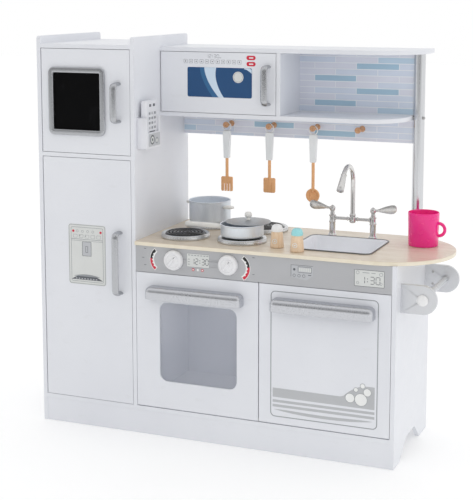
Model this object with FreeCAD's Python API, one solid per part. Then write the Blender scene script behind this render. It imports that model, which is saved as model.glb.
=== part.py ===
import FreeCAD, Part
import math
import os

# Toy kitchen: fridge tower, base cabinet with oven and dishwasher, worktop with hob
# and sink, upper shelves with a microwave, and the loose things that stand on it.
# Millimetres. X runs to the right, Y to the back, Z up. The origin is on the floor,
# under the middle of the whole footprint.

V = FreeCAD.Vector
os.makedirs("parts", exist_ok=True)
fixings = []                   # bolts and pins, saved together as one node

# ---------------------------------------------------------------- driving dimensions
tower_height = 1042.0          # floor to the top of the tower's side panels
overall_width = 1083.0         # tower's left face to the tip of the rounded worktop
cabinet_width = 980.0          # tower's left face to the base cabinet's right face
tower_width = 284.0            # fridge tower, outside
depth = 332.0                  # door faces to the cabinet's back
board = 11.0                   # painted board
back_board = 5.0               # thin back panels
plinth_height = 64.0
plinth_recess = 1.0
top_rise = 20.0                # side panels above the tower's top board
fridge_opening = 651.0         # bottom board to the shelf between fridge and freezer
panel_corner = 9.0             # rounded top corners of the tower's side panels

counter_height = 517.0         # floor to the worktop's upper face
counter_thickness = 10.0
counter_overhang = 6.0         # worktop in front of the doors
fascia_height = 70.0           # control panel

upper_depth = 177.0            # upper unit's front to the cabinet's back
top_shelf_height = 1012.0      # floor to the upper face of the top shelf
top_shelf_end = 982.0          # tower's left face to the top shelf's right end
top_shelf_round = 130.0
low_shelf_height = 839.5
low_shelf_round = 110.0
microwave_width = 329.0        # opening between the tower and the microwave's side
splash_setback = 24.0          # backsplash's face to the cabinet's back
splash_bottom = 766.0
splash_end = 935.0
post_radius = 14.8

# clearances
door_gap = 1.2                 # round a closed door
hinge_gap = 1.5                # at a door's hinge edge
swing_gap = 3.0                # behind the drop doors, where their lower edges swing back
meeting_gap = 2.5              # between the oven and dishwasher doors
pin_fit = 0.05                 # radial, pins and spindles that turn
lift_gap = 0.3                 # under loose things that stand on another body

# doors and their pivots
hinge_inset = 6.0              # pivot axis in from the door's hinge edge
hinge_edge_round = 2.5
pin_radius = 2.0
pin_in_door = 8.0
pin_end_gap = 1.0              # beyond a pin's end in the door's bore
pin_in_board = 6.0
tongue_thickness = 1.5
tongue_inset = 2.0             # behind the door faces
tongue_rise = 4.0              # above the pivot axis

# handles
handle_reach = 30.0
bow_width = 20.0
bow_thickness = 5.0
bow_corner = 17.0
bow_edge = 1.5
cup_height = 31.0
cup_corner = 14.0
cup_wall = 3.0

# feet cut into the outer side panels
foot_front = 56.0
foot_back = 76.0
arch_height = 45.0
arch_front_run = 68.0
arch_back_run = 50.0
arch_round = 30.0

# ---------------------------------------------------------------- derived positions
left = -overall_width / 2
front = (handle_reach - depth) / 2
back = front + depth
tower_right = left + tower_width
cabinet_right = left + cabinet_width
tower_in_left = left + board
tower_in_right = tower_right - board
base_in_right = cabinet_right - board
bottom_z = plinth_height + board
mid_z = bottom_z + fridge_opening
tower_top_z = tower_height - top_rise
counter_under = counter_height - counter_thickness
fascia_bottom = counter_under - fascia_height
base_mid = (tower_right + base_in_right) / 2
divider_front = front + board + swing_gap
upper_front = back - upper_depth
splash_y = back - splash_setback
micro_right = tower_right + microwave_width
post_x = left + splash_end + post_radius
post_y = splash_y + back_board / 2


# ---------------------------------------------------------------- helpers
def save(shape, name):
    """Write one node's STEP file."""
    shape.exportStep("parts/" + name + ".step")


def block(x0, x1, y0, y1, z0, z1):
    """A box between two corners."""
    return Part.makeBox(x1 - x0, y1 - y0, z1 - z0, V(x0, y0, z0))


def rod(radius, length, start, direction=V(0, 0, 1)):
    """A cylinder from its start point along a direction."""
    return Part.makeCylinder(radius, length, start, direction)


def edges_where(shape, test):
    """Straight edges whose two ends pass a test."""
    found = []
    for edge in shape.Edges:
        if len(edge.Vertexes) == 2 and edge.Curve.TypeId == "Part::GeomLine":
            if test(edge.Vertexes[0].Point, edge.Vertexes[1].Point):
                found.append(edge)
    return found


def along(axis, *conditions):
    """A test for edges along one axis whose ends lie at given coordinates."""
    def test(a, b):
        step = b - a
        if abs(abs(getattr(step, axis)) - step.Length) > 1e-6:
            return False
        return all(abs(getattr(a, name) - value) < 1e-6 for name, value in conditions)
    return test


def prism(points, direction):
    """A closed outline pushed along a direction."""
    return Part.Face(Part.makePolygon(points + [points[0]])).extrude(direction)


def turned(profile, centre):
    """A closed radius-height outline turned round a vertical axis."""
    points = [centre + V(r, 0, z) for r, z in profile]
    face = Part.Face(Part.makePolygon(points + [points[0]]))
    return face.revolve(centre, V(0, 0, 1), 360)


def rounded_plate(x0, x1, y0, y1, z0, z1, radius, axis="y"):
    """A box with its four corners rounded as seen along an axis."""
    body = block(x0, x1, y0, y1, z0, z1)
    return body.makeFillet(radius, edges_where(body, along(axis)))


# ---------------------------------------------------------------- carcass
def foot_arch(x):
    """The arched opening between a side panel's front and back feet."""
    z_low = -1.0
    points = [
        V(x, front + foot_front, z_low),
        V(x, front + foot_front + arch_front_run, arch_height),
        V(x, back - foot_back - arch_back_run, arch_height),
        V(x, back - foot_back, z_low),
    ]
    arch = prism(points, V(board, 0, 0))
    return arch.makeFillet(arch_round, edges_where(arch, along("x", ("z", arch_height))))


def tower_panel(x, z_low):
    """A full-height side panel of the tower."""
    panel = block(x, x + board, front, back, z_low, tower_height)
    return panel.makeFillet(panel_corner, edges_where(panel, along("x", ("z", tower_height))))


def side_pivot_bore(x, y, z, height):
    """A vertical hole for a side-hung door's pin."""
    return rod(pin_radius, height, V(x, y, z))


tower_pivot_x = tower_in_left + hinge_gap + hinge_inset
tower_pivot_y = front + board / 2
micro_pivot_x = tower_right + hinge_gap + hinge_inset
micro_pivot_y = upper_front + board / 2
drop_pivot_z = bottom_z + hinge_gap + hinge_inset
drop_pivot_y = front + board / 2


def make_carcass():
    left_panel = tower_panel(left, 0).cut(foot_arch(left))
    save(left_panel, "fridge_left_panel")

    right_panel = tower_panel(tower_in_right, bottom_z)
    bore_start = V(tower_right - pin_in_board, drop_pivot_y, drop_pivot_z)
    bore = rod(pin_radius, pin_in_board, bore_start, V(1, 0, 0))
    save(right_panel.cut(bore), "fridge_right_panel")

    inner_back = back - back_board
    top = block(tower_in_left, tower_in_right, front, inner_back, tower_top_z - board, tower_top_z)
    top = top.cut(side_pivot_bore(tower_pivot_x, tower_pivot_y, tower_top_z - board, pin_in_board))
    save(top, "fridge_top_board")

    shelf = block(tower_in_left, tower_in_right, front, inner_back, mid_z, mid_z + board)
    save(shelf.cut(side_pivot_bore(tower_pivot_x, tower_pivot_y, mid_z, board)), "fridge_middle_shelf")

    save(block(tower_in_left, tower_in_right, inner_back, back, bottom_z, tower_top_z), "fridge_back_board")

    bottom = block(tower_in_left, base_in_right, front, back, plinth_height, bottom_z)
    low_bore = side_pivot_bore(tower_pivot_x, tower_pivot_y, bottom_z - pin_in_board, pin_in_board)
    save(bottom.cut(low_bore), "bottom_board")

    plinth_y = front + plinth_recess
    save(block(tower_in_left, base_in_right, plinth_y, plinth_y + board, 0, plinth_height), "plinth")

    right = block(base_in_right, cabinet_right, front, back, 0, counter_under).cut(foot_arch(base_in_right))
    bore = rod(pin_radius, pin_in_board, V(base_in_right, drop_pivot_y, drop_pivot_z), V(1, 0, 0))
    save(right.cut(bore), "base_right_panel")

    divider = block(base_mid - board / 2, base_mid + board / 2,
                    divider_front, inner_back, bottom_z, counter_under)
    save(divider, "base_divider")
    save(block(tower_right, base_in_right, inner_back, back, bottom_z, counter_under), "base_back_board")


# ---------------------------------------------------------------- control panel
knob_radius = 26.0
knob_depth = 16.0
knob_spindle = 4.0
knob_spindle_depth = 9.0
knob_edge = 3.0
knob_offset_z = 38.0           # above the control panel's lower edge
knob_shift = {"knob_left": 13.0, "knob_right": 3.0}  # to the right of the hob column behind
knob_grip_width = 7.0
knob_grip_rise = 2.5
knob_grip_sink = 0.5
knob_grip_length = 36.4
knob_grip_corner = 3.0


def make_controls():
    fascia = block(tower_right, base_in_right, front, front + board, fascia_bottom, counter_under)
    z = fascia_bottom + knob_offset_z
    for column, (name, shift) in enumerate(knob_shift.items()):
        centre = V(hob_column_x(column) + shift, front, z)
        fascia = fascia.cut(rod(knob_spindle + pin_fit, board, centre, V(0, 1, 0)))
        knob = rod(knob_radius, knob_depth, centre + V(0, -knob_depth - lift_gap, 0), V(0, 1, 0))
        rim = [e for e in knob.Edges if e.Closed and e.CenterOfMass.y < front - knob_depth]
        knob = knob.makeFillet(knob_edge, rim)
        grip = rounded_plate(-knob_grip_width / 2, knob_grip_width / 2, -knob_grip_rise, knob_grip_sink,
                             -knob_grip_length / 2, knob_grip_length / 2, knob_grip_corner)
        grip.translate(centre + V(0, -knob_depth - lift_gap, 0))
        spindle = rod(knob_spindle, knob_spindle_depth + lift_gap, centre + V(0, -lift_gap, 0), V(0, 1, 0))
        save(knob.fuse([grip, spindle]).removeSplitter(), name)
    save(fascia, "control_panel")


# ---------------------------------------------------------------- worktop, hob and sink
sink_left = 683.0              # from the tower's left face
sink_width = 215.0
sink_front = 56.0              # from the door faces
sink_depth_y = 192.0
sink_rim = 9.0
sink_rim_rise = 3.0
sink_wall = 3.0
sink_bowl = 62.0
sink_corner = 12.0
sink_floor_round = 9.0

ring_radius = 64.0
ring_wall = 10.0
ring_height = 12.0
ring_edge = 3.5
coil_height = 14.0
coil_base = 9.0
coil_ridge = 6.0
coil_turns = 5
ring_gap = 33.0                # between the tower and the hob rings, and the rings, at most
sink_clear = 46.0              # from the right hob rings to the sink, at least
hob_step_y = 162.0
hob_setback = 18.0              # hob's middle behind the worktop's middle


def hob_column_x(column):
    """The middle of a hob column, the left one being number 0."""
    room = sink_left - tower_width - 4 * ring_radius
    gap = min(ring_gap, (room - sink_clear) / 2)
    return tower_right + gap + ring_radius + column * (2 * ring_radius + gap)


def sink_block(grow, z0, z1):
    """The sink's plan outline, grown outwards, between two heights."""
    x0 = left + sink_left + sink_rim - grow
    y0 = front + sink_front + sink_rim - grow
    width = sink_width - 2 * sink_rim + 2 * grow
    length = sink_depth_y - 2 * sink_rim + 2 * grow
    return rounded_plate(x0, x0 + width, y0, y0 + length, z0, z1, sink_corner + grow, "z")


def make_worktop():
    y0 = front - counter_overhang
    end_radius = (back - y0) / 2
    end_x = left + overall_width - end_radius
    top = block(tower_right, end_x, y0, back, counter_under, counter_height)
    end = rod(end_radius, counter_thickness, V(end_x, y0 + end_radius, counter_under))
    top = top.fuse(end).removeSplitter()
    save(top.cut(sink_block(sink_wall, counter_under - 1, counter_height + 1)), "countertop")

    rim = sink_block(sink_rim, counter_height, counter_height + sink_rim_rise)
    bowl_bottom = counter_height - sink_bowl
    shell = sink_block(sink_wall, bowl_bottom, counter_height + sink_rim_rise)
    inside = sink_block(0, bowl_bottom + sink_wall, counter_height + sink_rim_rise + 1)
    floor_edges = [e for e in inside.Edges if abs(e.BoundBox.ZMax - bowl_bottom - sink_wall) < 1e-6]
    inside = inside.makeFillet(sink_floor_round, floor_edges)
    save(rim.fuse(shell).cut(inside).removeSplitter(), "sink_basin")


def burner_centres():
    """The four hob places: front left, front right, rear left, rear right."""
    middle_y = (front + back - counter_overhang) / 2 + hob_setback
    centres = []
    for row in range(2):
        for column in range(2):
            y = middle_y + (row - 0.5) * hob_step_y
            centres.append(V(hob_column_x(column), y, counter_height))
    return centres


def coil_profile():
    """Radius-height outline of a heating plate with concentric ridges."""
    outer = ring_radius - ring_wall - lift_gap
    points = [(0, 0), (outer, 0), (outer, coil_base)]
    pitch = outer / (coil_turns + 0.5)
    for turn in range(coil_turns):
        middle = outer - pitch * (turn + 0.5)
        for offset, height in ((0.5, 0), (0.3, 0.8), (0.15, 1), (-0.15, 1), (-0.3, 0.8), (-0.5, 0)):
            ridge = coil_base + height * (coil_height - coil_base)
            points.append((middle + offset * coil_ridge, ridge))
    points.append((0, coil_base))
    return points


def make_hob():
    coils = []
    for number, centre in enumerate(burner_centres(), 1):
        ring = rod(ring_radius, ring_height, centre)
        ring = ring.cut(rod(ring_radius - ring_wall, ring_height, centre))
        rims = [e for e in ring.Edges if e.Closed and abs(e.BoundBox.ZMin - centre.z - ring_height) < 1e-6]
        save(ring.makeFillet(ring_edge, rims), "burner_ring_%d" % number)
        coils.append(turned(coil_profile(), centre))
    save(Part.makeCompound(coils), "burner_coils")


# ---------------------------------------------------------------- faucet
faucet_y = 262.0
faucet_left_x = 734.0
faucet_span = 111.0
faucet_flange = 12.0
faucet_post = 8.0
faucet_ring = 1.5              # rings round the posts
faucet_flare = 12.0            # height of the flared foot
faucet_post_height = 65.0
faucet_bridge_height = 48.0
faucet_bridge_radius = 4.5
faucet_hub_radius = 9.0
faucet_hub_height = 18.0
spout_radius = 6.5
spout_bend = 46.0
spout_straight = 90.0
spout_angle = 140.0
nozzle_length = 50.0
nozzle_radius = 9.5
nozzle_collar = 1.2
nozzle_collar_width = 3.0
lever_ball = 8.5
lever_reach = 64.0
lever_width = 25.0
lever_thickness = 4.0
lever_tilt = 8.0
lever_neck = 3.5
lever_neck_out = 4.0           # beyond the ball on both sides
lever_root_half = 3.0          # half the paddle's height where it meets the ball
lever_flat = 1.0               # cut off the ball's underside


def faucet_post_profile():
    """Radius-height outline of a faucet post with its base flange and rings."""
    r = faucet_post
    h = faucet_post_height
    f = faucet_flare
    b = faucet_ring
    return [(0, 0), (faucet_flange, 0), (faucet_flange, f / 4), (r + b * 2 / 3, f * 7 / 12), (r, f),
            (r, h - 6 * b), (r + b, h - b * 14 / 3), (r + b, h - b * 10 / 3), (r - 2, h - 2 * b), (r - 2, h), (0, h)]


def make_faucet():
    y = front + faucet_y
    x0 = left + faucet_left_x
    x1 = x0 + faucet_span
    bridge_z = counter_height + faucet_bridge_height
    hub = V((x0 + x1) / 2, y, bridge_z - faucet_hub_height / 2)
    posts = [turned(faucet_post_profile(), V(x, y, counter_height)) for x in (x0, x1)]
    bridge = rod(faucet_bridge_radius, faucet_span, V(x0, y, bridge_z), V(1, 0, 0))
    hub_body = rod(faucet_hub_radius, faucet_hub_height, hub)
    body = posts[0].fuse([posts[1], bridge, hub_body])
    spigot = faucet_hub_height / 2
    bore = rod(knob_spindle + pin_fit, spigot, hub + V(0, 0, faucet_hub_height - spigot))
    for x in (x0, x1):
        pin_hole = rod(pin_radius + pin_fit, spigot, V(x, y, counter_height + faucet_post_height - spigot))
        body = body.cut(pin_hole)
    save(body.cut(bore).removeSplitter(), "faucet_base")

    foot = hub + V(0, 0, faucet_hub_height + lift_gap)
    riser = rod(spout_radius, spout_straight, foot)
    stub = rod(knob_spindle, spigot, foot - V(0, 0, spigot))
    top = foot + V(0, 0, spout_straight)
    section = Part.Face(Part.Wire(Part.makeCircle(spout_radius, top, V(0, 0, 1))))
    bend = section.revolve(top + V(0, -spout_bend, 0), V(1, 0, 0), spout_angle)
    angle = math.radians(spout_angle)
    end = top + V(0, -spout_bend + spout_bend * math.cos(angle), spout_bend * math.sin(angle))
    heading = V(0, -math.sin(angle), math.cos(angle))
    nozzle = Part.makeCone(spout_radius, nozzle_radius, nozzle_length, end, heading)
    collar = rod(spout_radius + nozzle_collar, nozzle_collar_width, end, heading)
    save(riser.fuse([stub, bend, nozzle, collar]).removeSplitter(), "faucet_spout")

    for name, x, side in (("faucet_lever_left", x0, -1), ("faucet_lever_right", x1, 1)):
        centre = V(x, y, counter_height + faucet_post_height + lift_gap + lever_ball - lever_flat)
        save(make_lever(centre, side, spigot), name)


def make_lever(centre, side, spigot):
    """A ball top with a flat paddle reaching to one side."""
    ball = Part.makeSphere(lever_ball, centre)
    under = V(0, 0, lever_flat - lever_ball)
    cutter = block(-lever_ball, lever_ball, -lever_ball, lever_ball, -lever_ball, 0)
    cutter.translate(centre + under)
    ball = ball.cut(cutter)
    pin = rod(pin_radius, spigot, centre + under + V(0, 0, lift_gap - spigot))
    neck_half = lever_ball + lever_neck_out
    neck = rod(lever_neck, 2 * neck_half, centre - V(side * neck_half, 0, 0), V(side, 0, 0))
    half = lever_width / 2
    tip = lever_reach - half
    root = lever_ball + lever_root_half
    y0 = -lever_thickness / 2
    low = V(root, y0, -lever_root_half)
    high = V(root, y0, lever_root_half)
    edge = [Part.makeLine(low, V(tip, y0, -half)),
            Part.Arc(V(tip, y0, -half), V(lever_reach, y0, 0), V(tip, y0, half)).toShape(),
            Part.makeLine(V(tip, y0, half), high),
            Part.makeLine(high, low)]
    paddle = Part.Face(Part.Wire(edge)).extrude(V(0, lever_thickness, 0))
    paddle.rotate(V(0, 0, 0), V(0, 1, 0), -lever_tilt)
    if side < 0:
        paddle = paddle.mirror(V(0, 0, 0), V(1, 0, 0))
    paddle.translate(centre)
    return ball.fuse([pin, neck, paddle]).removeSplitter()


# ---------------------------------------------------------------- upper unit
bolt_radius = 4.0
bolt_shank = 2.5
bolt_set_forward = 6.0         # bolt's axis in front of the backsplash's face
peg_first = 143.0              # tower's right face to the first peg
peg_pitch = 124.0
peg_count = 4
peg_drop = 30.0                # below the lower shelf's underside
peg_reach = 46.0
peg_head = 8.3
peg_neck = 4.0
peg_tenon = 3.0
peg_head_length = 9.0
peg_flange_length = 5.0
peg_flange_lip = 1.0
peg_head_round = 3.0


def shelf_board(x1, y0, y1, z0, radius):
    """A shelf from the tower to its rounded front right corner."""
    shelf = block(tower_right, x1, y0, y1, z0, z0 + board)
    return shelf.makeFillet(radius, edges_where(shelf, along("z", ("x", x1), ("y", y0))))


def peg_points():
    """Where the pegs stand on the backsplash's face."""
    z = low_shelf_height - board - peg_drop
    return [V(tower_right + peg_first + number * peg_pitch, splash_y, z) for number in range(peg_count)]


def make_upper_unit():
    top_under = top_shelf_height - board
    low_under = low_shelf_height - board
    top = shelf_board(left + top_shelf_end, upper_front, back, top_under, top_shelf_round)
    top = top.cut(side_pivot_bore(micro_pivot_x, micro_pivot_y, top_under, pin_in_board))
    save(top, "top_shelf")

    low = shelf_board(left + splash_end, upper_front, splash_y, low_under, low_shelf_round)
    bore_z = low_shelf_height - pin_in_board
    low = low.cut(side_pivot_bore(micro_pivot_x, micro_pivot_y, bore_z, pin_in_board))
    post = rod(post_radius, top_under - counter_height, V(post_x, post_y, counter_height))
    low = low.cut(post)
    bolt_z = low_shelf_height - board / 2
    bolt_length = 2 * post_radius + board
    bolt_start = V(post_x - post_radius - board, splash_y - bolt_set_forward, bolt_z)
    shank = rod(bolt_shank, bolt_length, bolt_start, V(1, 0, 0))
    save(low.cut(shank), "lower_shelf")
    save(post.cut(shank), "support_post")
    head = Part.makeSphere(bolt_radius, bolt_start + V(bolt_length, 0, 0)).cut(post)
    fixings.append(shank.fuse(head).removeSplitter())

    save(block(micro_right, micro_right + board, upper_front, splash_y, low_shelf_height, top_under),
         "microwave_side_panel")

    splash = block(tower_right, left + splash_end, splash_y, splash_y + back_board, splash_bottom, top_under)
    pegs = []
    for point in peg_points():
        tenon = rod(peg_tenon, back_board, point, V(0, 1, 0))
        splash = splash.cut(tenon)
        out = V(0, -1, 0)
        flange = Part.makeCone(peg_head, peg_neck + peg_flange_lip, peg_flange_length, point, out)
        neck = rod(peg_neck, peg_reach, point, out)
        head = rod(peg_head, peg_head_length, point + out * (peg_reach - peg_head_length), out)
        head = head.makeFillet(peg_head_round, [e for e in head.Edges if e.Closed])
        pegs.append(neck.fuse([flange, head, tenon]).removeSplitter())
    save(splash, "backsplash")
    save(Part.makeCompound(pegs), "utensil_pegs")


# ---------------------------------------------------------------- doors and handles
def bow_handle(x, z0, length, face_y):
    """An upright bow handle standing out from a door face, centred on x."""
    x0 = x - bow_width / 2
    outer = block(x0, x0 + bow_width, face_y - handle_reach, face_y, z0, z0 + length)
    outer = outer.makeFillet(bow_corner, edges_where(outer, along("x", ("y", face_y - handle_reach))))
    gap = block(x0 - 1, x0 + bow_width + 1, face_y - handle_reach + bow_thickness, face_y + 1,
                z0 + bow_thickness, z0 + length - bow_thickness)
    gap_edges = edges_where(gap, along("x", ("y", face_y - handle_reach + bow_thickness)))
    bow = outer.cut(gap.makeFillet(bow_corner - bow_thickness, gap_edges))
    sides = [e for e in bow.Edges if e.BoundBox.YMax < face_y - 1e-3 or e.BoundBox.YLength > bow_corner / 2]
    rims = [e for e in sides if e.BoundBox.XLength < 1e-6]
    return bow.makeFillet(bow_edge, rims)


def cup_block(x0, x1, face_y, reach, z0, z1, corner):
    """A block with its upper and outer edges rounded."""
    body = block(x0, x1, face_y - reach, face_y, z0, z1)
    picks = edges_where(body, along("x", ("y", face_y - reach), ("z", z1)))
    for x in (x0, x1):
        picks += edges_where(body, along("z", ("x", x), ("y", face_y - reach)))
        picks += edges_where(body, along("y", ("x", x), ("z", z1)))
    return body.makeFillet(corner, picks)


def cup_handle(x0, x1, z0, face_y):
    """A wide cup pull: closed on top, open below."""
    outer = cup_block(x0, x1, face_y, handle_reach, z0, z0 + cup_height, cup_corner)
    inner = cup_block(x0 + cup_wall, x1 - cup_wall, face_y, handle_reach - cup_wall,
                      z0 - 1, z0 + cup_height - cup_wall, cup_corner - cup_wall)
    return outer.cut(inner)


def side_door(x0, x1, y0, z0, z1):
    """A side-hung door leaf, its hinge edge rounded and bored at top and bottom."""
    leaf = block(x0, x1, y0, y0 + board, z0, z1)
    leaf = leaf.makeFillet(hinge_edge_round, edges_where(leaf, along("z", ("x", x0))))
    for z in (z0, z1 - pin_in_door):
        leaf = leaf.cut(rod(pin_radius + pin_fit, pin_in_door, V(x0 + hinge_inset, y0 + board / 2, z)))
    return leaf


def drop_door(x0, x1):
    """A bottom-hung door leaf, its lower edge rounded and bored at both ends."""
    z0 = bottom_z + hinge_gap
    leaf = block(x0, x1, front, front + board, z0, fascia_bottom - door_gap)
    leaf = leaf.makeFillet(hinge_edge_round, edges_where(leaf, along("x", ("z", z0))))
    for x in (x0, x1 - pin_in_door):
        leaf = leaf.cut(rod(pin_radius + pin_fit, pin_in_door, V(x, drop_pivot_y, drop_pivot_z), V(1, 0, 0)))
    return leaf


tower_handle_x = left + 237.0
freezer_handle_z = 821.0
short_bow = 106.0
fridge_handle_z = 369.0
long_bow = 170.0
micro_handle_inset = 24.0      # middle of the microwave's handle from its side panel
micro_handle_z = 864.0
frame_left = 35.7
frame_width = 166.0
frame_bottom = 785.0
frame_height = 177.5
frame_bar = 15.0
frame_rise = 7.0
frame_corner = 16.0
frame_inner_corner = 4.0
frame_edge = 3.0
chalk_thickness = 2.0
oven_handle_inset = 36.0
cup_length = 266.0
cup_bottom = 373.0
window_inset = 66.0
window_bottom = 150.0
window_width = 216.0
window_height = 211.0
window_corner = 22.0
window_rebate = 6.0
pane_thickness = 3.0
dish_handle_inset = 35.0


def make_tower_doors():
    x0 = tower_in_left + hinge_gap
    x1 = tower_in_right - door_gap
    freezer_low = mid_z + board + door_gap
    freezer_high = tower_top_z - board - door_gap
    save(side_door(x0, x1, front, freezer_low, freezer_high), "freezer_door")
    save(side_door(x0, x1, front, bottom_z + door_gap, mid_z - door_gap), "fridge_door")
    save(bow_handle(tower_handle_x, freezer_handle_z, short_bow, front), "freezer_handle")
    save(bow_handle(tower_handle_x, fridge_handle_z, long_bow, front), "fridge_handle")

    fx = left + frame_left
    outer = rounded_plate(fx, fx + frame_width, front - frame_rise, front,
                          frame_bottom, frame_bottom + frame_height, frame_corner)
    face_edges = [e for e in outer.Edges if e.BoundBox.YMax < front - frame_rise + 1e-6]
    outer = outer.makeFillet(frame_edge, face_edges)
    low = frame_bottom + frame_bar
    high = frame_bottom + frame_height - frame_bar
    hole = rounded_plate(fx + frame_bar, fx + frame_width - frame_bar, front - frame_rise - 1, front + 1,
                         low, high, frame_inner_corner)
    save(outer.cut(hole), "freezer_board_frame")
    slate = rounded_plate(fx + frame_bar, fx + frame_width - frame_bar, front - chalk_thickness, front,
                          low, high, frame_inner_corner)
    save(slate, "freezer_chalkboard")


def make_microwave_door():
    x0 = tower_right + hinge_gap
    low = low_shelf_height + door_gap
    high = top_shelf_height - board - door_gap
    save(side_door(x0, micro_right - door_gap, upper_front, low, high), "microwave_door")
    handle_x = micro_right - micro_handle_inset
    save(bow_handle(handle_x, micro_handle_z, short_bow, upper_front), "microwave_handle")


def make_base_doors():
    oven_x0 = tower_right + door_gap
    oven = drop_door(oven_x0, base_mid - meeting_gap / 2)
    wx = oven_x0 + window_inset
    wz = window_bottom
    r = window_corner
    cut = rounded_plate(wx, wx + window_width, front - 1, front + board + 1, wz, wz + window_height, r)
    step = (board - pane_thickness) / 2
    g = window_rebate
    rebate = rounded_plate(wx - g, wx + window_width + g, front + step, front + board + 1,
                           wz - g, wz + window_height + g, r + g)
    pane = rounded_plate(wx - g, wx + window_width + g, front + step, front + step + pane_thickness,
                         wz - g, wz + window_height + g, r + g)
    save(oven.cut(cut).cut(rebate), "oven_door")
    save(pane, "oven_window")
    hx = tower_right + oven_handle_inset
    save(cup_handle(hx, hx + cup_length, cup_bottom, front), "oven_handle")

    dish_x0 = base_mid + meeting_gap / 2
    save(drop_door(dish_x0, base_in_right - door_gap), "dishwasher_door")
    hx = dish_x0 + dish_handle_inset
    save(cup_handle(hx, hx + cup_length, cup_bottom, front), "dishwasher_handle")


def make_fixings():
    """Pivot pins in the boards, and the tongue that carries the two drop doors' middle pin."""
    reach = pin_in_door - pin_end_gap
    pins = fixings
    tower_pins = ((tower_top_z - board - door_gap - reach, door_gap + reach + pin_in_board),
                  (mid_z - door_gap - reach, board + 2 * (door_gap + reach)),
                  (bottom_z - pin_in_board, pin_in_board + door_gap + reach))
    for z, length in tower_pins:
        pins.append(rod(pin_radius, length, V(tower_pivot_x, tower_pivot_y, z)))
    top_under = top_shelf_height - board
    length = pin_in_board + door_gap + reach
    for z in (top_under - door_gap - reach, low_shelf_height - pin_in_board):
        pins.append(rod(pin_radius, length, V(micro_pivot_x, micro_pivot_y, z)))
    for x in (tower_right - pin_in_board, base_in_right - door_gap - reach):
        pins.append(rod(pin_radius, length, V(x, drop_pivot_y, drop_pivot_z), V(1, 0, 0)))
    middle_length = meeting_gap + 2 * reach
    middle_start = V(base_mid - middle_length / 2, drop_pivot_y, drop_pivot_z)
    middle = rod(pin_radius, middle_length, middle_start, V(1, 0, 0))
    tongue = block(base_mid - tongue_thickness / 2, base_mid + tongue_thickness / 2,
                   front + tongue_inset, divider_front, bottom_z, drop_pivot_z + tongue_rise)
    pins.append(middle.fuse(tongue).removeSplitter())
    save(Part.makeCompound(pins), "metal_fixings")


# ---------------------------------------------------------------- towel holder
towel_front = 42.0             # door faces to the front plate
towel_back = 45.0              # rear plate's front face to the cabinet's back
plate_thickness = 9.0
plate_round = 36.0
plate_straight = 53.5
plate_height_z = 420.0
towel_rod_radius = 7.5
cap_radius = 14.5
cap_thickness = 8.0
cap_round = 4.0


def make_towel_holder():
    cx = cabinet_right + plate_straight
    towel_span = depth - towel_front - towel_back
    for name, offset in (("towel_plate_front", towel_front), ("towel_plate_rear", towel_front + towel_span)):
        y0 = front + offset
        arm = block(cabinet_right, cx, y0, y0 + plate_thickness,
                    plate_height_z - plate_round, plate_height_z + plate_round)
        end = rod(plate_round, plate_thickness, V(cx, y0, plate_height_z), V(0, 1, 0))
        hole = rod(towel_rod_radius + pin_fit, plate_thickness, V(cx, y0, plate_height_z), V(0, 1, 0))
        save(arm.fuse(end).cut(hole).removeSplitter(), name)
    y0 = front + towel_front - lift_gap
    shaft_length = towel_span + plate_thickness + lift_gap
    shaft = rod(towel_rod_radius, shaft_length, V(cx, y0, plate_height_z), V(0, 1, 0))
    cap = rod(cap_radius, cap_thickness, V(cx, y0 - cap_thickness, plate_height_z), V(0, 1, 0))
    cap_rim = [e for e in cap.Edges if e.Closed and e.CenterOfMass.y < y0 - cap_thickness / 2]
    cap = cap.makeFillet(cap_round, cap_rim)
    save(shaft.fuse(cap).removeSplitter(), "towel_rod")


# ---------------------------------------------------------------- telephone
cradle_front = 14.0
cradle_width = 83.0
cradle_reach = 29.0
cradle_bottom = 755.0
cradle_height = 80.0
cradle_lip_height = 42.0
cradle_wall = 8.0
cradle_back = 6.0
cradle_lip = 4.0
cradle_round = 3.0
handset_height = 115.0
handset_round = 5.0
handset_play = 1.0


def make_telephone():
    x0 = tower_right
    x1 = x0 + cradle_reach
    y0 = front + cradle_front
    y1 = y0 + cradle_width
    z0 = cradle_bottom
    body = rounded_plate(x0, x1, y0, y1, z0, z0 + cradle_height, cradle_round, "x")
    pocket_floor = z0 + cradle_wall
    pocket_top = z0 + cradle_height + 1
    y_low = y0 + cradle_wall
    y_high = y1 - cradle_wall
    pocket = block(x0 + cradle_back, x1 - cradle_lip, y_low, y_high, pocket_floor, pocket_top)
    window = block(x0 + cradle_back, x1 + 1, y_low, y_high, z0 + cradle_lip_height, pocket_top)
    save(body.cut(pocket).cut(window), "phone_cradle")
    p = handset_play
    foot = pocket_floor + lift_gap
    handset = rounded_plate(x0 + cradle_back + p, x1 - cradle_lip - p, y_low + p, y_high - p,
                            foot, foot + handset_height, handset_round, "x")
    save(handset, "phone_handset")


# ---------------------------------------------------------------- pots and pans
pot_radius = 57.0
pot_height = 60.0
pan_radius = 56.0
pan_height = 33.0
pan_wall = 2.0
rim_bead = 1.5
foot_round = 3.0               # a vessel's lower corner
pot_grip_reach = 28.0
pot_grip_width = 22.0
pot_grip_height = 9.0
pot_grip_drop = 19.0           # its underside below the pot's rim
pot_grip_corner = 5.0
pot_grip_turn = -20.0
pan_grip_reach = 104.0
pan_grip_width = 15.0
pan_grip_height = 13.0
pan_grip_drop = 18.0
pan_grip_corner = 4.0
lid_radius = 59.0
lid_dome = 7.0
lid_plate = 2.0
lid_knob_radius = 9.5
lid_knob_height = 20.0
lid_neck = 4.0
lid_crown = 0.6                # where the crown starts, as a share of the radius
lid_crown_drop = 1.5
lid_shift = V(9, 20, 0)


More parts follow.
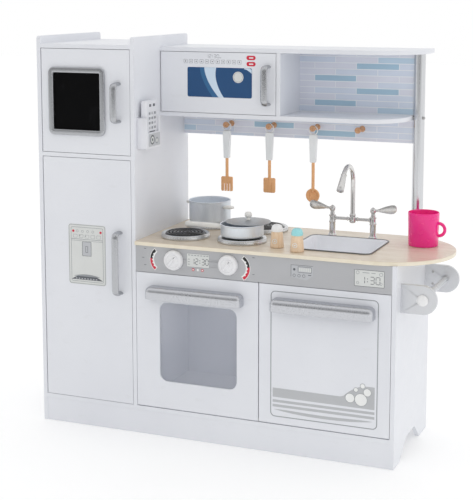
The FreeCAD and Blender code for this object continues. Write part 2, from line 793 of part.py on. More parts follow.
def vessel(radius, height, centre):
    """An open round pot with a beaded rim."""
    w = pan_wall
    b = rim_bead
    f = foot_round
    profile = [(0, 0), (radius - f, 0), (radius, f), (radius, height - 2 * b), (radius + b, height - b),
               (radius + b, height), (radius - w, height), (radius - w, w + f), (radius - w - f, w), (0, w)]
    return turned(profile, centre)


def make_pots():
    centres = burner_centres()
    stand = V(0, 0, coil_height + lift_gap)
    pot_centre = centres[2] + stand
    pot = vessel(pot_radius, pot_height, pot_centre)
    save(pot, "stock_pot")
    grips = []
    for turn in (pot_grip_turn, pot_grip_turn + 180):
        half = pot_grip_width / 2
        low = pot_height - pot_grip_drop
        grip = rounded_plate(pot_radius - foot_round, pot_radius + pot_grip_reach, -half, half,
                             low, low + pot_grip_height, pot_grip_corner, "z")
        grip.rotate(V(0, 0, 0), V(0, 0, 1), turn)
        grip.translate(pot_centre)
        grips.append(grip.cut(rod(pot_radius, pot_height, pot_centre)))
    save(Part.makeCompound(grips), "stock_pot_grips")

    pan_centre = centres[1] + stand
    pan = vessel(pan_radius, pan_height, pan_centre)
    save(pan, "sauce_pan")
    half = pan_grip_width / 2
    low = pan_height - pan_grip_drop
    grip = rounded_plate(-pan_radius - pan_grip_reach, -pan_radius + pan_grip_corner, -half, half,
                         low, low + pan_grip_height, pan_grip_corner, "x")
    grip.translate(pan_centre)
    save(grip.cut(rod(pan_radius, pan_height, pan_centre)), "sauce_pan_grip")

    lid_centre = pan_centre + lid_shift + V(0, 0, pan_height + lift_gap)
    t = lid_plate
    k = lid_knob_radius
    top = lid_dome + lid_knob_height
    crown = lid_radius * lid_crown
    shoulder = lid_dome - lid_crown_drop
    profile = [(0, lid_dome - t), (crown, shoulder - t), (lid_radius - t, 0), (lid_radius, 0),
               (lid_radius, t), (crown, shoulder), (lid_neck, lid_dome), (lid_neck, lid_dome + lid_neck),
               (k, lid_dome + lid_knob_height * 0.35), (k, top - lid_knob_height / 4),
               (k - 3.5, top), (0, top)]
    save(turned(profile, lid_centre), "pan_lid")


# ---------------------------------------------------------------- small loose things
shaker_radius = 17.5
shaker_neck = 14.0
shaker_body = 42.0
shaker_height = 59.0
shaker_band = 6.0              # upright part of the cap
shaker_places = {"shaker_white": (652.0, 62.0), "shaker_blue": (716.0, 33.0)}
mug_from_end = 95.0            # worktop's right end to the mug's middle
mug_from_back = 106.0
mug_radius = 40.0
mug_foot = 38.0
mug_height = 86.0
mug_wall = 3.0
mug_ring = 16.0
mug_ring_bar = 4.2


def make_tableware():
    for name, (x, y) in shaker_places.items():
        r = shaker_radius
        n = shaker_neck
        h = shaker_height
        b = shaker_body
        profile = [(0, 0), (r - 1, 0), (r, 1), (n, b), (n + 1, b + 1), (n + 1, b + shaker_band),
                   (n * 0.85, h - 5), (n * 0.5, h - 1), (0, h)]
        save(turned(profile, V(left + x, front + y, counter_height + lift_gap)), name)

    base = V(left + overall_width - mug_from_end, back - mug_from_back, counter_height + lift_gap)
    w = mug_wall
    h = mug_height
    profile = [(0, 0), (mug_foot - 2, 0), (mug_foot, 2), (mug_radius, h - 1), (mug_radius - 1, h),
               (mug_radius - w + 1, h), (mug_radius - w, h - 1), (mug_foot - w, 2 * w),
               (mug_foot - 2 * w, w), (0, w)]
    ring = Part.makeTorus(mug_ring, mug_ring_bar, V(mug_foot + 1, 0, h / 2), V(0, 1, 0))
    outline = turned([(0, 0), (mug_foot, 0), (mug_radius, h), (0, h)], V(0, 0, 0))
    ring = ring.cut(outline)
    ring.translate(base)
    save(turned(profile, base).fuse(ring).removeSplitter(), "mug")


# ---------------------------------------------------------------- utensils
loop_radius = 10.0
loop_bar = 1.5
sleeve_length = 78.0
sleeve_top_width = 22.0
sleeve_end_width = 16.0
sleeve_thickness = 12.0
utensil_out = 34.0             # from the backsplash's face
shaft_radius = 4.5
head_thickness = 6.0
head_width = 33.0
head_length = 40.0
head_corner = 4.0              # also how far a shaft runs into its head
turner_drop = 147.0
spatula_drop = 144.0
ladle_drop = 165.0
ladle_radius = 19.0
ladle_thickness = 10.0
ladle_hollow = 22.8            # radius of the spherical hollow
slot_width = 3.2


def utensil_shaft(peg, drop):
    """The hanging loop, sleeve and shaft that the utensils share."""
    y = V(0, -utensil_out, 0)
    hang = peg + y
    lift = peg_neck + lift_gap + loop_bar
    ring_middle = hang + V(0, 0, lift - loop_radius - loop_bar)
    ring = Part.makeTorus(loop_radius + loop_bar, loop_bar, ring_middle, V(0, 1, 0))
    ring_low = 2 * (loop_radius + loop_bar) - lift
    top = hang - V(0, 0, ring_low)
    sleeve = Part.makeCone(sleeve_top_width / 2, sleeve_end_width / 2, sleeve_length, top, V(0, 0, -1))
    slab = Part.makeBox(sleeve_top_width, sleeve_thickness, sleeve_length)
    slab.translate(top - V(sleeve_top_width / 2, sleeve_thickness / 2, sleeve_length))
    sleeve = sleeve.common(slab)
    shaft = rod(shaft_radius, drop - ring_low, hang - V(0, 0, drop))
    return hang, ring.fuse([sleeve, shaft])


def make_utensils():
    pegs = peg_points()
    half = head_thickness / 2

    hang, body = utensil_shaft(pegs[0], turner_drop)
    low = hang.z - turner_drop - head_length + head_corner
    blade = rounded_plate(hang.x - head_width / 2, hang.x + head_width / 2, hang.y - half, hang.y + half,
                          low, low + head_length, head_corner)
    for step in (-1, 0, 1):
        x = hang.x + step * head_width / 4
        blade = blade.cut(block(x - slot_width / 2, x + slot_width / 2, hang.y - half - 1, hang.y + half + 1,
                                low - 1, low + head_length * 0.5))
    save(body.fuse(blade).removeSplitter(), "utensil_turner")

    hang, body = utensil_shaft(pegs[1], spatula_drop)
    low = hang.z - spatula_drop - head_length + head_corner
    blade = rounded_plate(hang.x - head_width / 2, hang.x + head_width / 2, hang.y - half, hang.y + half,
                          low, low + head_length, head_corner)
    save(body.fuse(blade).removeSplitter(), "utensil_spatula")

    hang, body = utensil_shaft(pegs[2], ladle_drop)
    middle = hang - V(0, 0, ladle_drop + ladle_radius - head_corner)
    bowl = rod(ladle_radius, ladle_thickness, middle - V(0, ladle_thickness / 2, 0), V(0, 1, 0))
    bowl = bowl.makeFillet(head_corner, [e for e in bowl.Edges if e.Closed])
    hollow = Part.makeSphere(ladle_hollow, middle - V(0, ladle_hollow, 0))
    save(body.fuse(bowl).cut(hollow).removeSplitter(), "utensil_ladle")


make_carcass()
make_controls()
make_worktop()
make_hob()
make_faucet()
make_upper_unit()
make_tower_doors()
make_microwave_door()
make_base_doors()
make_fixings()
make_towel_holder()
make_telephone()
make_pots()
make_tableware()
make_utensils()
print("nodes:", len(os.listdir("parts")))
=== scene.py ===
import math

import bmesh
import bpy
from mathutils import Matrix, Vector


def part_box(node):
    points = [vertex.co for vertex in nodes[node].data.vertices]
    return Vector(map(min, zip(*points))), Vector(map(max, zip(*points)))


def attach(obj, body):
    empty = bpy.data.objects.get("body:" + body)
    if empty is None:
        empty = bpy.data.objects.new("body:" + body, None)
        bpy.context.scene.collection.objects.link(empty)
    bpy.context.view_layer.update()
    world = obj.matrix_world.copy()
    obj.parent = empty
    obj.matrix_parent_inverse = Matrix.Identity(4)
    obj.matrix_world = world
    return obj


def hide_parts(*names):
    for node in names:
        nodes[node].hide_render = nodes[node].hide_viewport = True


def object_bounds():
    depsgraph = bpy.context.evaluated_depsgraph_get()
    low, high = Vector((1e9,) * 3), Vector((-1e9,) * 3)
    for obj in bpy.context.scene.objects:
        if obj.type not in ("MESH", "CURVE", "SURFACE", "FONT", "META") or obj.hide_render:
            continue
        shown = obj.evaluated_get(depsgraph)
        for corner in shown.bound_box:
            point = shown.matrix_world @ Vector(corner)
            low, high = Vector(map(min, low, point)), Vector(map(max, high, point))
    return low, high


# Toy kitchen: finishes for its boards and hardware, and the pieces that need more
# shape than the boards do. Metres; X to the right, Y to the back, Z up.

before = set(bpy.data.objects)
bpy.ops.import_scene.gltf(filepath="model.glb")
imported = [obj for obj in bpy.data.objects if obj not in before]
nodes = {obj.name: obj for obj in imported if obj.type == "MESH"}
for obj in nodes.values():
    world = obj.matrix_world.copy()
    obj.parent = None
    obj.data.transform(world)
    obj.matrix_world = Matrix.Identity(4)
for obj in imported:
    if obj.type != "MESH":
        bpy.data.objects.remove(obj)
cad_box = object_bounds()
box = {name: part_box(name) for name in nodes}
PI = math.pi
MM = 0.001                  # the outlines of round pieces are in millimetres
SPECK = 1e-5                # radius that stands for a point
FACING = (PI / 2, 0, 0)     # turns a piece made along Z to stand out towards -Y
ALONG_X = (0, PI / 2, 0)    # turns a piece made along Z to lie along X


# ------------------------------------------------------------------ modelling helpers
def rest():
    """Object mode, with nothing selected."""
    if bpy.context.mode != "OBJECT":
        bpy.ops.object.mode_set(mode="OBJECT")
    bpy.ops.object.select_all(action="DESELECT")


def pick(kind, test):
    """In edit mode, select the faces, edges or vertices that pass a test."""
    bpy.ops.mesh.select_mode(type=kind)
    bpy.ops.mesh.select_all(action="DESELECT")
    data = bpy.context.edit_object.data
    mesh = bmesh.from_edit_mesh(data)
    for item in {"FACE": mesh.faces, "EDGE": mesh.edges, "VERT": mesh.verts}[kind]:
        item.select_set(bool(test(item)))
    mesh.select_flush_mode()
    bmesh.update_edit_mesh(data)


def ends(edge):
    return edge.verts[0].co, edge.verts[1].co


def near(a, b, slack=1e-5):
    return abs(a - b) < slack


def apply_place(obj):
    rest()
    obj.select_set(True)
    bpy.context.view_layer.objects.active = obj
    bpy.ops.object.transform_apply(location=True, rotation=True, scale=True)


def begin(name):
    """Name the primitive just added, put its place in its mesh and open it."""
    obj = bpy.context.object
    obj.name = name
    obj.data.name = name
    apply_place(obj)
    bpy.ops.object.mode_set(mode="EDIT")
    bpy.ops.mesh.select_mode(type="VERT")
    bpy.ops.mesh.select_all(action="SELECT")
    return obj


def stretch(scale, about):
    """Scale what is selected about a point."""
    bpy.ops.transform.resize(value=scale, center_override=about)


def pull(step=(0, 0, 0), scale=None, about=None):
    """Extrude what is selected by a step, then scale its new end about a point."""
    bpy.ops.mesh.extrude_region_move(TRANSFORM_OT_translate={"value": step})
    if scale is not None:
        stretch(scale, about)


def modifier(obj, kind, **settings):
    """Add a modifier with its settings and apply it."""
    rest()
    obj.select_set(True)
    bpy.context.view_layer.objects.active = obj
    made = obj.modifiers.new(kind.title(), kind)
    for key, value in settings.items():
        setattr(made, key, value)
    bpy.ops.object.modifier_apply(modifier=made.name)


def bevel(obj, width, steps, angle):
    """Ease the edges of a piece that are sharper than an angle in degrees."""
    modifier(obj, "BEVEL", width=width, segments=steps, limit_method="ANGLE", angle_limit=math.radians(angle))


def outward(obj):
    """Close doubled points and turn every face outwards."""
    rest()
    bpy.context.view_layer.objects.active = obj
    bpy.ops.object.mode_set(mode="EDIT")
    bpy.ops.mesh.select_all(action="SELECT")
    bpy.ops.mesh.remove_doubles(threshold=1e-6)
    bpy.ops.mesh.normals_make_consistent(inside=False)
    rest()


def done(obj, body, key, stands_for=(), edge=0.0, steps=2, angle=35):
    """Ease a piece's edges, shade it, and give it its finish, slot and body."""
    outward(obj)
    if edge:
        bevel(obj, edge, steps, angle)
    rest()
    obj.select_set(True)
    bpy.context.view_layer.objects.active = obj
    bpy.ops.object.shade_smooth_by_angle(angle=math.radians(angle))
    obj.data.materials.clear()
    obj.data.materials.append(finish[key])
    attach(obj, body)
    if stands_for:
        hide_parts(*stands_for)
    rest()
    return obj


def round_start(name, radius, place, steps, turn=(0, 0, 0), fill="NGON"):
    """A circle to draw out, sweep or spin, filled unless its far end closes it."""
    rest()
    bpy.ops.mesh.primitive_circle_add(vertices=steps, radius=radius, location=place, rotation=turn,
                                      fill_type=fill)
    return begin(name)


def turned(name, centre, outline, steps=64, turn=(0, 0, 0)):
    """A round piece: a ring at each radius and height of its outline, in millimetres.

    A last or first radius of zero closes the piece to a point. It stands on its centre,
    along Z unless it is turned.
    """
    rings = [(max(r * MM, SPECK), h * MM) for r, h in outline]
    (first, low), (last, top) = rings[0], rings[-1]
    open_ended = not (near(last, first) and near(top, low))
    obj = round_start(name, first, (0, 0, low), steps, fill="NOTHING")
    for (radius, height), (new_radius, new_height) in zip(rings, rings[1:]):
        ratio = new_radius / radius
        pull((0, 0, new_height - height), (ratio, ratio, 1), (0, 0, new_height))
    if last == SPECK:
        bpy.ops.mesh.merge(type="CENTER")
    elif open_ended:
        bpy.ops.mesh.edge_face_add()
    if first == SPECK:
        pick("VERT", lambda v: v.co.xy.length < 2 * SPECK and near(v.co.z, low))
        bpy.ops.mesh.merge(type="CENTER")
    elif open_ended:
        pick("EDGE", lambda e: all(near(p.z, low) and near(p.xy.length, first) for p in ends(e)))
        bpy.ops.mesh.edge_face_add()
    rest()
    obj.location = centre
    obj.rotation_euler = turn
    apply_place(obj)
    return obj


def lathe(name, centre, outline, body, key, stands_for=(), steps=40, turn=(0, 0, 0), angle=50):
    """A round piece with its finish, slot and body."""
    return done(turned(name, centre, outline, steps, turn), body, key, stands_for, angle=angle)


def block(name, low, high):
    """A block between two corners, open for shaping."""
    rest()
    low, high = Vector(low), Vector(high)
    bpy.ops.mesh.primitive_cube_add(size=1, location=(low + high) / 2, scale=high - low)
    return begin(name)


def cut_out(obj, low, high):
    """Take a block between two corners out of a piece."""
    cutter = block("cutter", low, high)
    modifier(obj, "BOOLEAN", operation="DIFFERENCE", object=cutter, solver="EXACT")
    bpy.data.objects.remove(cutter)


def plate(name, x0, x1, z0, z1, y, thick, corner=0.0, steps=6):
    """A flat piece on an upright face that looks towards -Y, with rounded corners."""
    rest()
    bpy.ops.mesh.primitive_plane_add(size=1, location=((x0 + x1) / 2, y, (z0 + z1) / 2), rotation=FACING)
    bpy.context.object.scale = (x1 - x0, z1 - z0, 1)
    obj = begin(name)
    if corner:
        bpy.ops.mesh.bevel(offset=corner, segments=steps, affect="VERTICES")
    bpy.ops.mesh.select_all(action="SELECT")
    pull((0, -thick, 0))
    return obj


# ------------------------------------------------------------------ finishes
class Finish:
    """A procedural material under way, on the object's own coordinates."""

    def __init__(self, name, **sockets):
        self.material = bpy.data.materials.new(name)
        self.material.use_nodes = True
        self.tree = self.material.node_tree
        self.shader = self.tree.nodes["Principled BSDF"]
        self.place = self.node("ShaderNodeTexCoord").outputs["Object"]
        for key, value in sockets.items():
            self.shader.inputs[key.replace("_", " ")].default_value = value

    def node(self, kind, inputs=None, **settings):
        made = self.tree.nodes.new(kind)
        for key, value in settings.items():
            setattr(made, key, value)
        for key, value in (inputs or {}).items():
            if isinstance(value, bpy.types.NodeSocket):
                self.tree.links.new(value, made.inputs[key])
            else:
                made.inputs[key].default_value = value
        return made

    def noise(self, scale, detail=2.0, stretch=(1, 1, 1), distortion=0.0):
        place = self.node("ShaderNodeMapping", {"Vector": self.place, "Scale": stretch}).outputs[0]
        wants = {"Vector": place, "Scale": scale, "Detail": detail, "Distortion": distortion}
        return self.node("ShaderNodeTexNoise", wants).outputs[0]

    def ramp(self, fac, *stops, steps=False):
        """Colours (red, green, blue) at positions along a factor."""
        made = self.node("ShaderNodeValToRGB", {"Fac": fac})
        made.color_ramp.interpolation = "CONSTANT" if steps else "LINEAR"
        marks = made.color_ramp.elements
        while len(marks) < len(stops):
            marks.new(0.5)
        for mark, (position, colour) in zip(marks, stops):
            mark.position = position
            mark.color = (*colour, 1)
        return made.outputs[0]

    def spread(self, fac, low, high, start=0.3, stop=0.7):
        """A factor mapped from start..stop to low..high."""
        wants = {"Value": fac, 1: start, 2: stop, 3: low, 4: high}
        return self.node("ShaderNodeMapRange", wants).outputs[0]

    def mix(self, fac, a, b, kind="MIX"):
        made = self.node("ShaderNodeMix", data_type="RGBA", blend_type=kind)
        for socket, value in ((made.inputs[0], fac), (made.inputs[6], a), (made.inputs[7], b)):
            if isinstance(value, bpy.types.NodeSocket):
                self.tree.links.new(value, socket)
            else:
                socket.default_value = value if isinstance(value, float) else (*value, 1)
        return made.outputs[2]

    def math(self, kind, a, b=0.0):
        return self.node("ShaderNodeMath", {0: a, 1: b}, operation=kind).outputs[0]

    def part(self, axis):
        """One of the object's own coordinates."""
        return self.node("ShaderNodeSeparateXYZ", {0: self.place}).outputs[axis]

    def colour(self, socket):
        self.tree.links.new(socket, self.shader.inputs["Base Color"])

    def rough(self, fac, low, high):
        self.tree.links.new(self.spread(fac, low, high), self.shader.inputs["Roughness"])

    def bump(self, height, strength, distance):
        made = self.node("ShaderNodeBump", {"Height": height, "Strength": strength, "Distance": distance})
        self.tree.links.new(made.outputs[0], self.shader.inputs["Normal"])


def tone(colour, factor):
    return tuple(min(1.0, c * factor) for c in colour)


def srgb(red, green, blue):
    """Linear colour from 0-255 display values."""
    shown = (red, green, blue)
    return tuple(((c / 255 + 0.055) / 1.055) ** 2.4 if c > 10 else c / 255 / 12.92 for c in shown)


def moulded(name, colour, rough=(0.3, 0.42), grain=900.0, depth=0.00004, cloud=0.04, **sockets):
    """Smooth paint, plastic or print: a faint cloud in the colour and a fine skin."""
    made = Finish(name, **sockets)
    broad = made.noise(14.0, 3.0)
    made.colour(made.ramp(broad, (0.3, tone(colour, 1 - cloud)), (0.7, tone(colour, 1 + cloud))))
    skin = made.noise(grain, 2.0)
    made.rough(made.noise(60.0, 3.0), *rough)
    made.bump(skin, 0.25, depth)
    return made.material


def metal(name, colour, rough=(0.25, 0.4), along=(1, 1, 1), grain=500.0, whole=1.0):
    """Bare or silvered metal, brushed along one way; whole is how far it covers as metal."""
    cloud = 0.03
    made = Finish(name, Metallic=whole)
    brushed = made.noise(grain, 3.0, along)
    made.colour(made.ramp(brushed, (0.3, tone(colour, 1 - cloud)), (0.7, tone(colour, 1 + cloud))))
    made.rough(made.noise(grain * 0.4, 3.0, along), *rough)
    made.bump(brushed, 0.1, 0.00001)
    return made.material


def timber(name, pale, dark, along="Z", pores=2600.0, rough=(0.45, 0.6)):
    """Sanded close-grained wood, its grain along one axis."""
    made = Finish(name)
    stretch = {"X": (0.06, 1, 1), "Y": (1, 0.06, 1), "Z": (1, 1, 0.06)}[along]
    figure = made.noise(190.0, 4.0, stretch, 0.6)
    base = made.ramp(figure, (0.3, pale), (0.55, tone(pale, 0.93)), (0.72, dark))
    fine = made.noise(pores, 2.0, stretch)
    flecks = made.ramp(fine, (0.32, tone(dark, 0.75)), (0.42, (1, 1, 1)))
    made.colour(made.mix(0.45, base, flecks, "MULTIPLY"))
    made.rough(figure, *rough)
    made.bump(fine, 0.35, 0.00006)
    return made.material


def lacquered_board():
    """White sprayed lacquer on board: a trace of unevenness, orange peel and handling marks."""
    made = Finish("lacquered_board", Coat_Weight=0.12, Coat_Roughness=0.25)
    broad = made.noise(3.5, 4.0)
    white = made.ramp(broad, (0.3, srgb(226, 228, 234)), (0.7, srgb(232, 234, 239)))
    marks = made.noise(26.0, 6.0, (1, 1, 2.5), 0.4)
    handled = made.ramp(marks, (0.62, (1, 1, 1)), (0.78, (0.965, 0.962, 0.955)))
    made.colour(made.mix(1.0, white, handled, "MULTIPLY"))
    made.rough(made.noise(38.0, 5.0), 0.34, 0.5)
    made.bump(made.noise(520.0, 2.0), 0.2, 0.00008)
    return made.material


def worktop_laminate():
    """Pale wood print on top, with a cream edge band below it."""
    top = box["countertop"][1].z
    made = Finish("worktop_laminate", Coat_Weight=0.3, Coat_Roughness=0.18)
    figure = made.noise(34.0, 5.0, (0.12, 1, 1), 0.8)
    pale, warm, deep = srgb(228, 216, 198), srgb(221, 207, 187), srgb(210, 194, 171)
    base = made.ramp(figure, (0.3, pale), (0.5, warm), (0.72, deep))
    pores = made.noise(900.0, 3.0, (0.05, 1, 1))
    printed = made.mix(0.5, base, made.ramp(pores, (0.3, (0.86, 0.84, 0.8)), (0.5, (1, 1, 1))), "MULTIPLY")
    on_top = made.spread(made.part(2), 0.0, 1.0, top - 0.0012, top - 0.0006)
    cream = made.ramp(made.noise(40.0, 3.0), (0.3, srgb(232, 222, 200)), (0.7, srgb(238, 229, 210)))
    made.colour(made.mix(on_top, cream, printed))
    made.rough(made.noise(50.0, 4.0), 0.32, 0.46)
    made.bump(pores, 0.15, 0.00004)
    return made.material


def chalk_slate():
    """Matt black board with wiped chalk dust."""
    made = Finish("chalk_slate", Specular_IOR_Level=0.08)
    dust = made.noise(22.0, 6.0, (1, 1, 0.45), 1.2)
    made.colour(made.ramp(dust, (0.45, srgb(3, 3, 4)), (0.62, srgb(7, 7, 8)), (0.8, srgb(20, 20, 22))))
    made.rough(dust, 0.55, 0.8)
    made.bump(made.noise(1500.0, 3.0), 0.4, 0.00006)
    return made.material


def clear_pane():
    """Clear moulded sheet with fine rubbing marks and a cool tint."""
    made = Finish("clear_pane", Alpha=0.22, IOR=1.49)
    made.colour(made.ramp(made.noise(9.0, 3.0), (0.3, srgb(196, 202, 218)), (0.7, srgb(206, 211, 226))))
    made.rough(made.noise(70.0, 5.0, (1, 1, 3)), 0.05, 0.16)
    made.bump(made.noise(9.0, 2.0), 0.2, 0.0008)
    return made.material


finish = {
    "board": lacquered_board(),
    "worktop": worktop_laminate(),
    "fascia": moulded("fascia_paint", srgb(184, 185, 188), (0.38, 0.5), 700.0, cloud=0.02, Metallic=0.15),
    "grout": moulded("tile_sheet", srgb(238, 241, 246), (0.28, 0.4), cloud=0.02),
    "post": metal("post_tube", (0.66, 0.67, 0.69), (0.16, 0.26), (1, 1, 0.02)),
    "ring": metal("burner_silver", (0.66, 0.67, 0.68), (0.24, 0.36), grain=1400.0),
    "coil": moulded("coil_black", srgb(9, 9, 10), (0.14, 0.26), 1200.0, Coat_Weight=0.15),
    "basin": moulded("basin_white", srgb(244, 246, 250), (0.16, 0.28)),
    "nickel": metal("faucet_nickel", (0.68, 0.67, 0.66), (0.16, 0.26), (1, 1, 0.1)),
    "handle": metal("handle_silver", (0.47, 0.48, 0.5), (0.2, 0.3), grain=1600.0),
    "cup": metal("cup_silver", (0.57, 0.58, 0.61), (0.22, 0.32), grain=1600.0),
    "slate": chalk_slate(),
    "frame": metal("frame_silver", (0.44, 0.45, 0.47), (0.18, 0.28), grain=1600.0),
    "pane": clear_pane(),
    "knob": moulded("knob_white", srgb(234, 234, 236), (0.22, 0.34)),
    "plate": metal("towel_plate_grey", (0.74, 0.75, 0.77), (0.42, 0.55), grain=1100.0),
    "rod": moulded("towel_rod_grey", srgb(206, 208, 213), (0.25, 0.38)),
    "phone": moulded("phone_white", srgb(226, 227, 232), (0.28, 0.4)),
    "peg": timber("peg_beech", srgb(212, 164, 124), srgb(176, 122, 84), "Y"),
    "utensil": timber("utensil_cherry", srgb(248, 190, 136), srgb(226, 158, 102), "Z"),
    "sleeve": moulded("sleeve_white", srgb(240, 243, 244), (0.3, 0.42)),
    "pot": metal("pot_satin", (0.77, 0.82, 0.88), (0.28, 0.4), (1, 1, 0.15), 700.0, whole=0.4),
    "grip": moulded("grip_ivory", srgb(240, 239, 235), (0.28, 0.4)),
    "shaker": timber("shaker_birch", srgb(242, 216, 186), srgb(230, 197, 160), "Z"),
    "cap_white": moulded("cap_white", srgb(240, 240, 240), (0.2, 0.3)),
    "cap_blue": moulded("cap_blue", srgb(158, 222, 226), (0.2, 0.3)),
    "mug": moulded("mug_pink", srgb(250, 38, 144), (0.18, 0.3), Coat_Weight=0.3, Subsurface_Weight=0.08),
    "steel": metal("fixing_steel", (0.5, 0.5, 0.5), (0.3, 0.45)),
    # painted shade: the sink rim's silver is made dark to draw the shadow line round the bowl
    "painted_shade_rim": metal("sink_rim_painted_shade", (0.2, 0.21, 0.22), (0.25, 0.4)),
    "lid": metal("lid_satin", (0.42, 0.44, 0.46), (0.36, 0.5), grain=700.0, whole=0.8),
}
for key, colour in {
    "ink_cream": (217, 219, 217), "ink_white": (240, 241, 240), "ink_line": (150, 154, 158),
    "ink_grey": (190, 192, 196), "ink_band": (188, 190, 193), "ink_dark": (92, 96, 102),
    "ink_black": (24, 24, 28), "ink_red": (208, 40, 66), "ink_deep": (24, 74, 122),
    "ink_mid": (44, 100, 146), "ink_sky": (205, 222, 238), "tile_pearl": (222, 225, 236),
    "tile_mist": (213, 222, 236), "tile_sky": (192, 213, 229), "tile_sea": (168, 198, 217),
}.items():
    finish[key] = moulded(key, srgb(*colour), (0.3, 0.42), 1500.0, cloud=0.025)

board_ends = ("_panel", "_board", "_shelf", "_divider", "_door", "plinth")
board_nodes = [name for name in nodes if name.endswith(board_ends)]
kept = {name: "board" for name in board_nodes}
kept.update({
    "freezer_chalkboard": "slate", "control_panel": "fascia", "countertop": "worktop", "backsplash": "grout",
    "support_post": "post", "freezer_handle": "handle", "fridge_handle": "handle",
    "microwave_handle": "handle",
    "oven_handle": "cup", "dishwasher_handle": "cup", "oven_window": "pane",
    "towel_plate_front": "plate", "towel_plate_rear": "plate", "metal_fixings": "steel",
    "freezer_board_frame": "frame",
})
for name, key in kept.items():
    for one in nodes[name].material_slots:
        one.material = finish[key]
for name in board_nodes + ["countertop", "towel_plate_front", "towel_plate_rear"]:
    nodes[name].modifiers.new("joined", "WELD").merge_threshold = 1e-5
    eased = nodes[name].modifiers.new("eased_edge", "BEVEL")
    eased.width, eased.segments, eased.angle_limit = 0.0008, 2, math.radians(40)

# ------------------------------------------------------------------ flat and swept shapes
def turn_about(angle, axis, centre):
    """Turn what is selected by a right-handed angle about an axis through a point."""
    bpy.ops.transform.rotate(value=-angle, orient_axis=axis, center_override=centre)


def printed(name, y, thick, shapes):
    """Flat shapes standing a little out from an upright face at y, as one piece.

    Each shape is a tuple: ("bar", x0, x1, z0, z1, corner), ("hoop", x0, x1, z0, z1,
    corner, width) or ("disc", x, z, radius), with ("eye", x, z, radius, width) a round hoop.
    """
    rest()
    obj = None
    for kind, *sizes in shapes:
        if kind in ("bar", "hoop"):
            x0, x1, z0, z1, corner = sizes[:5]
            middle = ((x0 + x1) / 2, y, (z0 + z1) / 2)
            bpy.ops.mesh.primitive_plane_add(size=1, location=middle, rotation=FACING)
        else:
            middle = (sizes[0], y, sizes[1])
            rim = 28 if sizes[2] > 0.004 else 16
            bpy.ops.mesh.primitive_circle_add(vertices=rim, radius=sizes[2], location=middle,
                                              rotation=FACING, fill_type="NGON")
        obj = obj or begin(name)
        if kind in ("bar", "hoop"):
            stretch((x1 - x0, 1, z1 - z0), middle)
            if corner:
                bpy.ops.mesh.bevel(offset=corner, segments=5, affect="VERTICES")
        if kind in ("hoop", "eye"):
            bpy.ops.mesh.inset(thickness=sizes[-1], depth=0)
            bpy.ops.mesh.delete(type="FACE")
    bpy.ops.mesh.select_all(action="SELECT")
    pull((0, -thick, 0))
    return obj


def ribbon(name, y, thick, stations):
    """A flat shape on an upright face, swept between pairs of (x, z) points."""
    rest()
    bpy.ops.mesh.primitive_plane_add(size=1, location=(0.5, y, 0), rotation=FACING)
    obj = begin(name)
    pick("VERT", lambda v: v.co.x > 0.5)
    bpy.ops.mesh.delete(type="VERT")
    bpy.ops.mesh.select_all(action="SELECT")
    middle, length, heading = Vector((0, y, 0)), 1.0, 0.0
    for number, ((ax, az), (bx, bz)) in enumerate(stations):
        goal = Vector(((ax + bx) / 2, y, (az + bz) / 2))
        span = max(math.hypot(bx - ax, bz - az), 2e-5)
        lean = math.atan2(bx - ax, bz - az)
        if number:
            pull(goal - middle)
        else:
            bpy.ops.transform.translate(value=goal - middle)
        if abs(lean - heading) > 1e-6:
            turn_about(lean - heading, "Y", goal)
        stretch((span / length, 1, span / length), goal)
        middle, length, heading = goal, span, lean
    bpy.ops.mesh.select_all(action="SELECT")
    bpy.ops.mesh.normals_make_consistent(inside=False)
    pull((0, -thick, 0))
    return obj


def rounded_tray(name, x0, x1, y0, y1, z, corner, steps=8):
    """A flat rounded sheet lying level, open for shaping upwards or downwards."""
    rest()
    bpy.ops.mesh.primitive_plane_add(size=1, location=((x0 + x1) / 2, (y0 + y1) / 2, z))
    bpy.context.object.scale = (x1 - x0, y1 - y0, 1)
    obj = begin(name)
    bpy.ops.mesh.bevel(offset=corner, segments=steps, affect="VERTICES")
    bpy.ops.mesh.select_all(action="SELECT")
    return obj


def ink(name, y, shapes, body, key, thick=0.00025):
    """A print or sticker layer, closed, with its finish."""
    return done(printed(name, y, thick, shapes), body, key)


# The seven bars of a clock digit, as shares of its width and height.
BARS = {"a": (0, 1, 1, 1), "b": (1, 1, 0.5, 1), "c": (1, 1, 0, 0.5), "d": (0, 1, 0, 0),
        "e": (0, 0, 0, 0.5), "f": (0, 0, 0.5, 1), "g": (0, 1, 0.5, 0.5)}
LIT = {"0": "abcdef", "1": "bc", "2": "abged", "3": "abgcd", "4": "fgbc", "5": "afgcd"}


def clock_digits(figures, x, z, width, height, gap, stroke):
    """Bars for a row of clock digits, from the lower left corner of the first."""
    shapes = []
    for figure in figures:
        for bar in LIT.get(figure, ""):
            u0, u1, w0, w1 = BARS[bar]
            trim_x, trim_z = (0.7, -0.5) if u1 > u0 else (-0.5, 0.7)
            shapes.append(("bar", x + u0 * width + trim_x * stroke, x + u1 * width - trim_x * stroke,
                           z + w0 * height + trim_z * stroke, z + w1 * height - trim_z * stroke, 0))
        if figure == ":":
            shapes += [("disc", x + width * 0.25, z + height * share, stroke * 0.8) for share in (0.3, 0.7)]
            x += width * 0.5 + gap
        else:
            x += width + gap
    return shapes


def row(count, step, kind, *sizes):
    """A print shape repeated along X."""
    across = 2 if kind in ("bar", "hoop") else 1
    return [(kind, *(size + n * step for size in sizes[:across]), *sizes[across:]) for n in range(count)]


def shares(steps):
    """Even shares from 0 to 1."""
    return [step / steps for step in range(steps + 1)]


# ------------------------------------------------------------------ places shared by many pieces
left = cad_box[0].x
door_y = box["fridge_door"][0].y
panel_y = box["control_panel"][0].y
micro_y = box["microwave_door"][0].y
counter_z = box["countertop"][1].z
LAYER = 0.00025     # thickness of one print
SHEET = 0.0004      # thickness of a sticker that carries prints


